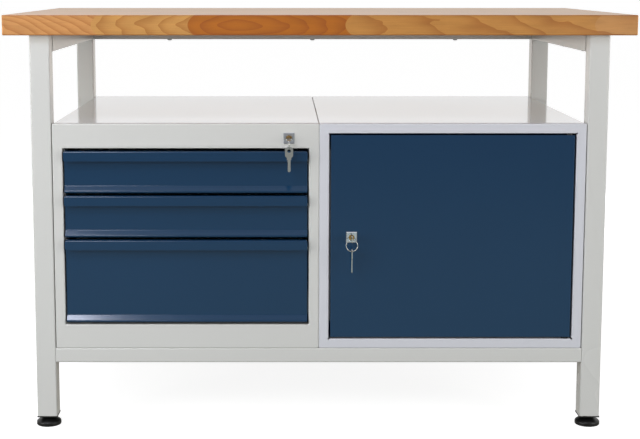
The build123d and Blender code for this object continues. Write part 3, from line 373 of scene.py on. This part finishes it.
# The rounded edges at the top and bottom of the front face are mixed towards a dark brown.
to_edge = calculate(tree, "MINIMUM", calculate(tree, "SUBTRACT", axes[2], float(LOW[2])),
                    calculate(tree, "SUBTRACT", float(HIGH[2]), axes[2]))
at_face = calculate(tree, "LESS_THAN", axes[1], FRONT_Y + EDGE_ROUND)
arris = calculate(tree, "MULTIPLY", calculate(tree, "LESS_THAN", to_edge, EDGE_ROUND), at_face)
colour = blend_colours(tree, calculate(tree, "MULTIPLY", arris, 0.60), colour,
                       linear(120, 66, 24))
gloss = calculate(tree, "MULTIPLY_ADD", fibre, 0.14, 0.26)
relief = calculate(tree, "SUBTRACT", calculate(tree, "MULTIPLY", fibre, 0.6),
                   calculate(tree, "MULTIPLY", facts["Seam"], 0.8))
surface(tree, shader, {"Colour": colour, "Roughness": gloss, "Height": relief}, 0.35,
        0.2 * MM)
dress(beech, "worktop")

# %% [markdown]
# ## Metal fittings
# Locks are cast and chromed, keys and rings are nickel plated, slides and screws are
# zinc plated and the lock plugs are turned brass. Plating copies the surface under it,
# so what tells these metals apart is how they scatter light: chrome is nearly a mirror
# with hairline scratches, and zinc shows a faint crystal mottle. One group gives a
# scratched, mottled roughness and a matching height, and each metal sets its amounts.

# %% Plated metal group
tree, given, end = new_group(
    "Plated metal",
    [("Colour", "colour", (0.8, 0.8, 0.8, 1)), ("Roughness", "number", 0.2),
     ("Mottle", "number", 0.1), ("Scratches", "number", 0.1)],
    [("Colour", "colour"), ("Roughness", "number"), ("Height", "number")],
)
place = put(tree, "ShaderNodeTexCoord").outputs["Object"]
crystals = put(tree, "ShaderNodeTexVoronoi", {"Vector": place, "Scale": 420.0}).outputs["Color"]
crystals = put(tree, "ShaderNodeSeparateColor", {0: crystals}).outputs[0]
stretched = put(tree, "ShaderNodeMapping",
                {"Vector": place, "Rotation": (0.3, 0.5, 0.9), "Scale": (90.0, 2600.0, 2600.0)})
hairs = put(tree, "ShaderNodeTexNoise",
            {"Vector": stretched.outputs[0], "Scale": 1.0, "Detail": 2.0}).outputs["Fac"]
hairs = calculate(tree, "POWER", hairs, 3.0)
rough = calculate(tree, "MULTIPLY_ADD", crystals, given["Mottle"], given["Roughness"])
rough = calculate(tree, "MULTIPLY_ADD", hairs, given["Scratches"], rough)
level = calculate(tree, "SUBTRACT", 1.0, calculate(tree, "MULTIPLY", crystals, given["Mottle"]))
tint = blend_colours(tree, 1.0, given["Colour"], grey_level(tree, level), "MULTIPLY")
finish_group(tree, end, {"Colour": tint, "Roughness": rough, "Height": hairs})
plated_metal = tree


# %% Metals
def plated(name, colour, roughness, mottle, scratches):
    """A metal or plating of one colour."""
    amounts = {"Colour": linear(*colour), "Roughness": roughness, "Mottle": mottle,
               "Scratches": scratches}
    return skinned(name, plated_metal, amounts, 0.12, 0.03 * MM, Metallic=1.0)


zinc = plated("Zinc plate", (188, 192, 198), 0.26, 0.16, 0.20)
chrome = plated("Chrome plate", (206, 208, 214), 0.07, 0.02, 0.22)
nickel = plated("Nickel plate", (192, 190, 186), 0.14, 0.03, 0.26)
brass = plated("Brass", (186, 152, 98), 0.20, 0.04, 0.30)
drawers = ("bottom", "middle", "top")
dress(zinc, "drawer_slide_posts", "drawer_slide_outer_members",
      *(f"{drawer}_drawer_runners" for drawer in drawers),
      *(f"{drawer}_slide_middle_members" for drawer in drawers),
      "drawer_locking_bar", "drawer_lock_cam", "door_lock_cam", "shelf_clips",
      "door_pivot_pins", "worktop_screws", "unit_bolts")
dress(chrome, "drawer_lock_body", "door_lock_body")
dress(brass, "drawer_lock_plug", "door_lock_plug")
dress(nickel, "drawer_key", "drawer_spare_key", "door_key", "door_spare_key",
      "drawer_key_ring", "door_key_ring")

# %% [markdown]
# ## Moulded plastic and rubber
# The leg plugs, feet, bushes and guides are moulded black nylon, and the door bumpers
# are rubber. Moulds are spark eroded, which leaves a fine even grain that turns black
# plastic dark grey where light grazes it. Fine noise as bump and roughness is enough.

# %% Plastic group and materials
tree, given, end = new_group(
    "Moulded grain",
    [("Colour", "colour", (0.02, 0.02, 0.02, 1)), ("Roughness", "number", 0.5),
     ("Grain", "number", 900.0)],
    [("Colour", "colour"), ("Roughness", "number"), ("Height", "number")],
)
place = put(tree, "ShaderNodeTexCoord").outputs["Object"]
grain = put(tree, "ShaderNodeTexNoise",
            {"Vector": place, "Scale": given["Grain"], "Detail": 2.0}).outputs["Fac"]
scuffs = put(tree, "ShaderNodeTexNoise",
             {"Vector": place, "Scale": 60.0, "Detail": 4.0, "Roughness": 0.6}).outputs["Fac"]
lighter = blend_colours(tree, calculate(tree, "MULTIPLY", scuffs, 0.25), given["Colour"],
                        (0.02, 0.02, 0.02, 1))
rough = calculate(tree, "MULTIPLY_ADD", scuffs, 0.16,
                  calculate(tree, "SUBTRACT", given["Roughness"], 0.08))
finish_group(tree, end, {"Colour": lighter, "Roughness": rough, "Height": grain})
moulded_grain = tree


def moulded(name, colour, roughness, grain):
    """Moulded plastic or rubber of one colour; grain is its cells per metre."""
    amounts = {"Colour": linear(*colour), "Roughness": roughness, "Grain": grain}
    return skinned(name, moulded_grain, amounts, 0.3, 0.08 * MM, Specular_IOR_Level=0.3)


black_plastic = moulded("Black plastic", (4, 4, 4), 0.40, 900.0)
black_rubber = moulded("Black rubber", (24, 24, 24), 0.72, 1400.0)
dress(black_plastic, "leg_end_plugs", "foot_front_left", "foot_front_right",
      "foot_rear_left", "foot_rear_right", "locking_bar_guides", "door_pivot_bushes")
dress(black_rubber, "door_bumpers")

# %% [markdown]
# ## Surfaces from grids
# A new piece starts as a grid of points worked out with numpy, such as rings stacked up
# a profile or carried along a path. Joining each point to its neighbours gives the
# faces. A chain of modifiers could do the same, but here every size stays a plain
# number. Rings that shrink to a point are merged into a pole, the faces are turned
# outwards, and the finished piece rides on the body that carries it.

# %% Grids and pieces
def wrapped_grid(points, close_rows=False, close_columns=True):
    """Vertices and quads of a grid of points, of shape (rows, columns, 3).

    Each quad joins a point to its next neighbours along both directions; a closed
    direction joins the last row or column back to the first.
    """
    rows, columns = points.shape[:2]
    index = np.arange(rows * columns).reshape(rows, columns)
    down = np.roll(index, -1, axis=0)
    across = np.roll(index, -1, axis=1)
    both = np.roll(down, -1, axis=1)
    quads = np.stack([index, across, both, down], axis=-1)
    quads = quads[: None if close_rows else -1, : None if close_columns else -1]
    return points.reshape(-1, 3), quads.reshape(-1, 4)


def copies(shape, places):
    """The same shape at every place: each vertex is its own offset plus the place."""
    vertices, quads = shape
    places = np.asarray(places, float).reshape(-1, 1, 3)
    moved = (vertices[None] + places).reshape(-1, 3)
    steps = np.arange(len(places)).reshape(-1, 1, 1) * len(vertices)
    return moved, (quads[None] + steps).reshape(-1, 4)


def piece(name, shapes, body, material, stands_for=(), sharp=35):
    """One object from several shapes in metres: poles merged, faces turned outwards."""
    starts = np.cumsum([0] + [len(vertices) for vertices, quads in shapes])
    vertices = np.concatenate([vertices for vertices, quads in shapes])
    quads = np.concatenate([quads + start for (_, quads), start in zip(shapes, starts)])
    mesh = bpy.data.meshes.new(name)
    mesh.from_pydata(vertices.tolist(), [], quads.tolist())
    work = bmesh.new()
    work.from_mesh(mesh)
    bmesh.ops.remove_doubles(work, verts=work.verts, dist=1e-6)
    bmesh.ops.recalc_face_normals(work, faces=work.faces)
    work.to_mesh(mesh)
    work.free()
    mesh.shade_smooth()
    mesh.set_sharp_from_angle(angle=math.radians(sharp))
    mesh.materials.append(material)
    made = bpy.data.objects.new(name, mesh)
    bpy.context.scene.collection.objects.link(made)
    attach(made, body)
    if stands_for:
        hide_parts(*stands_for)
    print(name, "faces:", len(mesh.polygons))


def middle(node):
    """Centre of a node's box, in metres."""
    low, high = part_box(node)
    return (np.array(low) + np.array(high)) / 2


# %% [markdown]
# ## Levelling feet
# Each foot is a moulded pad on a threaded stem. The pad is a surface of revolution whose
# top grows from a cone into a hexagon that takes a spanner; the stem carries a metric
# thread. A lathe modifier could spin the pad, but a radius that depends on height and
# angle also gives the hexagon in one closed skin. The thread is the same idea: its
# radius rises and falls with height plus a share of the angle, which winds into a helix.

# %% Feet
def lathe(profile, centre, sides=48, hexagon=None):
    """Skin turned about an upright line: the radius at each height, round all angles.

    Where a ring's hexagon share is above 0, its radius blends from round to a hexagon's,
    which is the half width across flats over the cosine of the angle from a flat.
    """
    profile = np.asarray(profile, float)
    angles = np.linspace(0, 2 * np.pi, sides, endpoint=False)
    share = np.zeros(len(profile)) if hexagon is None else np.asarray(hexagon, float)
    from_flat = (angles + np.pi / 6) % (np.pi / 3) - np.pi / 6
    flat = 1 / np.cos(from_flat)
    radius = profile[:, :1] * (1 + share[:, None] * (flat[None] - 1))
    x, y = radius * np.cos(angles), radius * np.sin(angles)
    z = np.broadcast_to(profile[:, 1:], x.shape)
    return wrapped_grid(np.stack([x, y, z], axis=-1) * MM + np.asarray(centre))


def threaded_stem(centre, low, high, radius=5.0, pitch=1.5, depth=0.75, sides=24):
    """Threaded rod: radius less depth times a triangle wave of height over pitch
    plus angle over a full turn, so that the ridges wind upwards as a helix."""
    heights = np.arange(low, high + 0.01, pitch / 4)
    angles = np.linspace(0, 2 * np.pi, sides, endpoint=False)
    phase = heights[:, None] / pitch - angles[None] / (2 * np.pi)
    wave = np.abs((phase % 1.0) * 2 - 1)
    rings = radius - depth * wave
    x, y = rings * np.cos(angles), rings * np.sin(angles)
    z = np.broadcast_to(heights[:, None], x.shape)
    points = np.stack([x, y, z], axis=-1)
    end = np.zeros((1, sides, 3))
    points = np.concatenate([end + (0, 0, low), points, end + (0, 0, heights[-1])])
    return wrapped_grid(points * MM + np.asarray(centre))


# Radius and height of each corner of the pad, in mm, from the middle of its underside
# to the bottom of the socket for the stem, and how far each ring is a hexagon.
PAD_PROFILE = [(0, 0), (22.5, 0), (24.2, 0.5), (25, 1.6), (25, 6.4), (24.7, 7.6),
               (23.9, 8.7), (21.4, 10.4), (17.6, 12.3), (14.2, 14.0), (12.0, 15.3),
               (9.5, 16.0), (9.5, 18.6), (8.9, 19.4), (5.4, 19.4), (5.4, 14), (0, 14)]
PAD_HEXAGON = [0, 0, 0, 0, 0, 0, 0, 0, 0, 0, 0.3, 1, 1, 0.8, 0, 0, 0]
STEM_HEIGHTS = (8.0, 55.0)
for spot in ("front_left", "front_right", "rear_left", "rear_right"):
    node = f"foot_{spot}"
    centre = middle(node) * (1, 1, 0)
    piece(f"pad_{spot}", [lathe(PAD_PROFILE, centre, hexagon=PAD_HEXAGON)], node,
          black_plastic, stands_for=[node])
    piece(f"stem_{spot}", [threaded_stem(centre, *STEM_HEIGHTS)], node, zinc)

# %% [markdown]
# ## Split key rings
# A key ring is spring wire wound twice round and pressed flat, so the two turns lie
# against each other and cross where the ends tuck in. A torus would show one smooth
# ring. Here the wire's path goes twice round the circle and steps from the rear turn to
# the front one over a short bend, and a flattened oval is carried along it.

# %% Key rings
def split_ring(centre, axis, radius=11.5, thick=0.75, flat=0.5, steps=176, sides=10):
    """Wire carried along two turns of a circle in the plane square to an axis.

    The path's offset along the axis is a smooth step from minus to plus half the pair's
    width, in the middle of its length; the section is an oval of the given half sizes.
    Near both ends the oval shrinks as a quarter circle falls, which closes the wire.
    """
    cut, bend, tip = 0.16, 0.9, 0.05
    turn = np.linspace(cut, 4 * np.pi - cut, steps)
    step = np.clip((turn - (2 * np.pi - bend / 2)) / bend, 0, 1)
    offset = flat * (2 * step * step * (3 - 2 * step) - 1)
    close = np.clip(np.minimum(turn - turn[0], turn[-1] - turn) / tip, 0.0, 1.0)
    size = np.sqrt(1 - (1 - close) ** 2)
    angles = np.linspace(0, 2 * np.pi, sides, endpoint=False)
    out = radius + size[:, None] * thick * np.cos(angles)[None]
    side = offset[:, None] + size[:, None] * flat * np.sin(angles)[None]
    first, second = out * np.sin(turn)[:, None], out * np.cos(turn)[:, None]
    points = np.zeros((steps, sides, 3))
    points[..., axis] = side
    points[..., 1 - axis] = first
    points[..., 2] = second
    return wrapped_grid(points * MM + np.asarray(centre))


for node, axis in (("drawer_key_ring", 0), ("door_key_ring", 1)):
    piece(node.replace("key_ring", "split_ring"), [split_ring(middle(node), axis)], node,
          nickel, stands_for=[node], sharp=60)

# %% [markdown]
# ## Screws and bolts
# Pan-head screws hold the worktop from below and hexagon bolts hold both units on their
# rails. Under the bench and inside the units they show their heads, so the drive matters:
# a cross pressed into a low dome, and six flats above a washer face. Both are turned
# shapes. The dome is lowered wherever an arm of the cross passes, and the bolt comes
# from the lathe that made the feet, with its six flats.

# %% Screws and bolts
def pan_head(centre, radius=6.0, height=3.5, rings=22, sides=48):
    """Head that hangs down from its seat: a quarter of a superellipse in depth, less
    a cross whose arms are narrower and shallower away from the middle."""
    reach, half_width, wider, sunk, runs_out = 3.4, 0.55, 0.25, 2.2, 4.4
    angles = np.linspace(0, 2 * np.pi, sides, endpoint=False)
    share = np.linspace(0, 1, rings)[:, None]
    r = radius * share + 0 * angles[None]
    depth = height * (1 - share**3.2) ** 0.5 + 0 * angles[None]
    x, y = r * np.cos(angles), r * np.sin(angles)
    arm = half_width + wider * np.clip(1 - r / reach, 0, 1)
    inside = (np.minimum(np.abs(x), np.abs(y)) < arm) & (r < reach)
    depth = depth - inside * (sunk * np.clip(1 - r / runs_out, 0, 1))
    points = np.stack([x, y, -depth], axis=-1)
    closing = np.zeros((1, sides, 3))
    return wrapped_grid(np.concatenate([points, closing]) * MM + np.asarray(centre))


ORIGIN = (0, 0, 0)
# The worktop's screws: three through each side rail and three through the rear rail.
SIDE_SCREW_X, SIDE_SCREW_PITCH = 0.5525, 0.2
REAR_SCREW_Y, REAR_SCREW_PITCH = 0.3175, 0.35
seat = float(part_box("top_side_rails")[0][2])
middle_y = float(middle("worktop")[1])
screw_places = [(side * SIDE_SCREW_X, middle_y + n * SIDE_SCREW_PITCH, seat)
                for side in (-1, 1) for n in (-1, 0, 1)]
screw_places += [(n * REAR_SCREW_PITCH, middle_y + REAR_SCREW_Y, seat) for n in (-1, 0, 1)]
shank = lathe([(0, 0), (2.5, 0), (2.5, 59), (0, 62)], ORIGIN, sides=16)
piece("worktop_pan_screws",
      [copies(pan_head(ORIGIN), screw_places), copies(shank, screw_places)],
      "bench", zinc, stands_for=["worktop_screws"])

# The units' bolts: four in each long rail, with their heads on the units' floors.
BOLT_COLUMNS = (-0.4735, -0.0605, 0.0605, 0.4735)
BOLT_ROW_Y = 0.305
HEAD_HEIGHT = 4.0
BOLT_PROFILE = [(0, HEAD_HEIGHT), (3.6, HEAD_HEIGHT), (4.5, 3.4), (4.5, 0.7), (4.9, 0.6),
                (4.9, 0), (3, 0), (3, -26), (2.4, -27.4), (0, -27.4)]
BOLT_HEXAGON = [0, 0, 1, 1, 0, 0, 0, 0, 0, 0]
floor_level = float(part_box("unit_bolts")[1][2]) - HEAD_HEIGHT * MM
bolt_places = [(x, middle_y + side * BOLT_ROW_Y, floor_level)
               for x in BOLT_COLUMNS for side in (-1, 1)]
piece("unit_hexagon_bolts",
      [copies(lathe(BOLT_PROFILE, ORIGIN, 36, BOLT_HEXAGON), bolt_places)],
      "bench", zinc, stands_for=["unit_bolts"])

# %% [markdown]
# ## Weld beads
# The frame's rails are welded to the legs, and the paint goes over the welds. A bead is
# a low rounded ridge with ripples where the pool froze step by step. A half oval is
# carried along each joint, and its size swells and shrinks a little in a regular rhythm.

# %% Weld beads
def bead(start, finish, lift, width=2.2, height=1.2, pitch=1.6, ripple=0.12, sides=8):
    """Half oval carried from start to finish; lift is the way the ridge rises.

    Its size is multiplied by one plus the ripple times the size of a sine of length
    over pitch, and falls to nothing at both ends.
    """
    start, finish, lift = (np.asarray(v, float) for v in (start, finish, lift))
    run = finish - start
    length = np.linalg.norm(run) / MM
    side = np.cross(run / np.linalg.norm(run), lift / np.linalg.norm(lift))
    up = lift / np.linalg.norm(lift)
    count = max(8, int(length / pitch * 4))
    share = np.linspace(0, 1, count)
    ends = np.clip(np.minimum(share, 1 - share) * length / 1.5, 0, 1) ** 0.5
    size = ends * (1 + ripple * np.abs(np.sin(np.pi * share * length / pitch)))
    angles = np.linspace(0, 2 * np.pi, sides, endpoint=False)
    across = width * np.cos(angles)[None] * size[:, None] * MM
    rise = height * np.sin(angles)[None] * size[:, None] * MM
    path = start + share[:, None] * run
    points = path[:, None] + across[..., None] * side + rise[..., None] * up
    return wrapped_grid(points)


rail_low, rail_high = (np.array(corner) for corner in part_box("top_side_rails"))
long_low, long_high = (np.array(corner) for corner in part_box("bottom_long_rails"))
# The beads lie at the legs' inner faces. Each stops a little short of the rounded edges
# of the rail's tube, and those under the side rails run outwards from the inner faces.
LEG_INNER_X = 0.535
UNDER_SIDE_RAIL = (0.003, 0.032)
SHORT_BELOW, SHORT_ABOVE = 0.002, 0.001
# The beads under the long rails: how far behind the front rail's front face the front
# ones start, how far before the rear rail's rear face the rear ones do, and the length.
FROM_FRONT, FROM_REAR, ACROSS = 0.004, 0.036, 0.032
beads = []
for side in (-1, 1):
    x = side * LEG_INNER_X
    first, last = (side * (LEG_INNER_X + out) for out in UNDER_SIDE_RAIL)
    for y, turn in ((rail_low[1], 1), (rail_high[1], -1)):
        beads.append(bead((x, y, rail_low[2] + SHORT_BELOW), (x, y, rail_high[2] - SHORT_ABOVE),
                          (-side, turn, 0), width=1.6, height=0.9))
        beads.append(bead((first, y, rail_low[2]), (last, y, rail_low[2]), (0, turn, -1)))
    for y in (long_low[1] + FROM_FRONT, long_high[1] - FROM_REAR):
        beads.append(bead((x, y, long_low[2]), (x, y + ACROSS, long_low[2]), (-side, 0, -1)))
piece("weld_beads", beads, "bench", light_grey, sharp=80)

# %% [markdown]
# ## Strip between the units
# The drawer unit and the cupboard stand a millimetre apart. A thin grey strip closes
# the gap, a little behind the front and under the top, so that the gap's shade is filled
# and it shows as a fine line. It is a plain box, and the top follows the units' height.

# %% Strip
low, high = (np.array(corner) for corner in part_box("drawer_unit_front_frame"))
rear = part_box("drawer_unit_casing")[1][1] - 2 * MM
front = low[1] + 1.2 * MM
half = 0.4 * MM
gap = float(high[0]) + 0.5 * MM
base, top = low[2] + 2 * MM, high[2] - 1.4 * MM
corners = [(-half, front), (half, front), (half, rear), (-half, rear)]
outline = np.array([(x + gap, y, 0) for x, y in corners])
centre = np.broadcast_to(outline.mean(axis=0), outline.shape)
rows = [centre + (0, 0, base), outline + (0, 0, base),
        outline + (0, 0, top), centre + (0, 0, top)]
# A sheet that fills the shaded gap, so that the seam shows as a fine lit line.
piece("unit_strip", [wrapped_grid(np.stack(rows))], "bench", light_grey)

# %% [markdown]
# ## Floor, sky and lamps
# The bench stands on a white studio floor under a white sky. The sky is brightest at
# the horizon, which lights upright faces more than flat ones, and mirrors see it darker
# towards the front, so that the glossy blue fronts stay deep. The floor glows for the
# camera, so it looks white without lighting the bench, and it keeps the bench's shadow.
# In mirrors it glows less the further it lies in front, and near the bench it turns
# slightly blue-green, so the door and the drawers grow lighter and greener downwards.
# Under the bench it's darker and warm, as the legs' inner sides show it, and far
# behind it's bright, which lights up the inner sides of the rails below the worktop.
# Eight soft lamps do the rest: one up on the left, two low in front and two low behind
# that reach in under the worktop, one at each side, and a narrow one overhead whose
# reflection is the bright streak on the sloping strips under the drawer fronts.

# %% Floor
FLOOR_SIDE, FLOOR_FRONT, FLOOR_REAR = 30, -20, 45
corners = [(-FLOOR_SIDE, FLOOR_FRONT, 0), (FLOOR_SIDE, FLOOR_FRONT, 0),
           (FLOOR_SIDE, FLOOR_REAR, 0), (-FLOOR_SIDE, FLOOR_REAR, 0)]
floor_mesh = bpy.data.meshes.new("floor")
floor_mesh.from_pydata(corners, [], [(0, 1, 2, 3)])
floor = bpy.data.objects.new("floor", floor_mesh)
bpy.context.scene.collection.objects.link(floor)
floor_paint, tree, shader = new_material("Studio floor", Roughness=1.0, Specular_IOR_Level=0.0)
floor_mesh.materials.append(floor_paint)
path = put(tree, "ShaderNodeLightPath").outputs
seen = calculate(tree, "MAXIMUM", path["Is Camera Ray"], path["Is Transmission Ray"])
shade = calculate(tree, "MULTIPLY_ADD", seen, 0.36, 0.16)
tree.links.new(grey_level(tree, shade), shader.inputs["Base Color"])
print("floor metres:", 2 * FLOOR_SIDE, "by", FLOOR_REAR - FLOOR_FRONT)

# %% Glow of the floor
place = put(tree, "ShaderNodeTexCoord").outputs["Object"]
depth = put(tree, "ShaderNodeSeparateXYZ", {0: place}).outputs[1]
# What mirrors see, as a colour at each depth from the front to the rear, in metres.
GLOWS = [(-5.6, (0.28, 0.28, 0.28, 1)), (-1.1, (0.43, 0.55, 0.52, 1)),
         (-0.6, (0.42, 0.50, 0.46, 1)), (-0.3, (0.30, 0.27, 0.21, 1)),
         (0.6, (0.32, 0.29, 0.23, 1)), (4.4, (1.0, 0.96, 0.90, 1))]
(front_end, first), *between, (rear_end, last) = GLOWS
along = put(tree, "ShaderNodeMapRange", {"Value": depth, 1: front_end, 2: rear_end}).outputs[0]
mirrored = put(tree, "ShaderNodeValToRGB", {0: along})
stops = mirrored.color_ramp.elements
stops[0].color, stops[1].color = first, last
for at, colour in between:
    stops.new((at - front_end) / (rear_end - front_end)).color = colour
glow = put(tree, "ShaderNodeVectorMath",
           {0: mirrored.outputs[0], 1: path["Is Glossy Ray"],
            2: calculate(tree, "MULTIPLY", seen, 0.80)}, operation="MULTIPLY_ADD")
tree.links.new(glow.outputs[0], shader.inputs["Emission Color"])
shader.inputs["Emission Strength"].default_value = 1
print("floor glow colours:", len(GLOWS))

# %% Sky
world = bpy.data.worlds.new("Studio")
bpy.context.scene.world = world
world.use_nodes = True
tree = world.node_tree
path = put(tree, "ShaderNodeLightPath").outputs
seen = calculate(tree, "MAXIMUM", path["Is Camera Ray"], path["Is Transmission Ray"])
way = put(tree, "ShaderNodeTexCoord").outputs["Generated"]
axes = put(tree, "ShaderNodeSeparateXYZ", {0: way}).outputs
rise = calculate(tree, "POWER", calculate(tree, "ABSOLUTE", axes[2]), 0.5)
sky = calculate(tree, "MULTIPLY_ADD", rise, -1.72, 1.75)
mirrored = put(tree, "ShaderNodeMapRange",
               {"Value": axes[1], 1: -0.95, 2: -0.25, 3: 0.25, 4: 1.0}).outputs[0]
strength = put(tree, "ShaderNodeMix",
               {0: path["Is Glossy Ray"], 2: sky, 3: mirrored}).outputs[0]
strength = put(tree, "ShaderNodeMix", {0: seen, 2: strength, 3: 1.0}).outputs[0]
background = tree.nodes["Background"]
background.inputs["Color"].default_value = (1, 1, 1, 1)
tree.links.new(strength, background.inputs["Strength"])
print("sky nodes:", len(tree.nodes))

# %% Lamps
def softbox(name, at, towards, width, height, power):
    """Rectangular area lamp at a place, turned to face another."""
    lamp = bpy.data.lights.new(name, "AREA")
    lamp.shape = "RECTANGLE"
    lamp.size, lamp.size_y = width, height
    lamp.energy = power
    made = bpy.data.objects.new(name, lamp)
    bpy.context.scene.collection.objects.link(made)
    made.location = at
    way = np.asarray(at, float) - np.asarray(towards, float)
    made.rotation_euler = (math.acos(way[2] / np.linalg.norm(way)), 0,
                           math.atan2(way[1], way[0]) + math.pi / 2)
    print(name, "watts:", power)
    return made


softbox("Key", (-1.2, -2.3, 1.9), (0, 0, 0.55), 1.4, 1.2, 14)
for side, name, watts in ((-1, "Left front", 7), (1, "Right front", 6)):
    softbox(name, (side * 1.9, -2.8, 0.85), (0, 0, 0.7), 1.2, 0.8, watts)
for side, name, watts in ((-1, "Left side", 26), (1, "Right side", 24)):
    softbox(name, (side * 2.5, -1.7, 0.85), (0, 0, 0.6), 1.0, 1.0, watts)
for side, name in ((-1, "Left rear"), (1, "Right rear")):
    rear_lamp = softbox(name, (side * 1.9, 2.5, 0.62), (0, 0, 0.66), 1.4, 0.8, 18)
    rear_lamp.visible_glossy = False
streak_x, streak_y = -0.90, -1.66
streak_lamp = softbox("Streak", (streak_x, streak_y, 2.35), (streak_x, streak_y, 0),
                      0.26, 0.95, 23)
streak_lamp.data.color = (0.81, 0.85, 1.0)
streak_lamp.rotation_euler = (0, 0, math.radians(30.5))

# %% [markdown]
# ## Camera
# A lens shifted sideways and down keeps the uprights nearly upright while the bench
# fills the frame, and a small tilt does the rest. A long lens from three metres keeps
# the left and the right leg alike. The colours are shown as they are, without a film's
# curve, so that the paint's numbers can be compared with a paint card.

# %% Camera
TILT_DOWN = 7.42
camera_data = bpy.data.cameras.new("Camera")
camera = bpy.data.objects.new("Camera", camera_data)
bpy.context.scene.collection.objects.link(camera)
bpy.context.scene.camera = camera
camera_data.lens = 76.8
camera_data.shift_x = 0.0595
camera_data.shift_y = -0.095
camera.location = (-0.0746, -3.0283, 0.9063)
camera.rotation_euler = (math.radians(90 - TILT_DOWN), 0, 0)
bpy.context.scene.view_settings.view_transform = "Standard"
print("lens mm:", camera_data.lens)
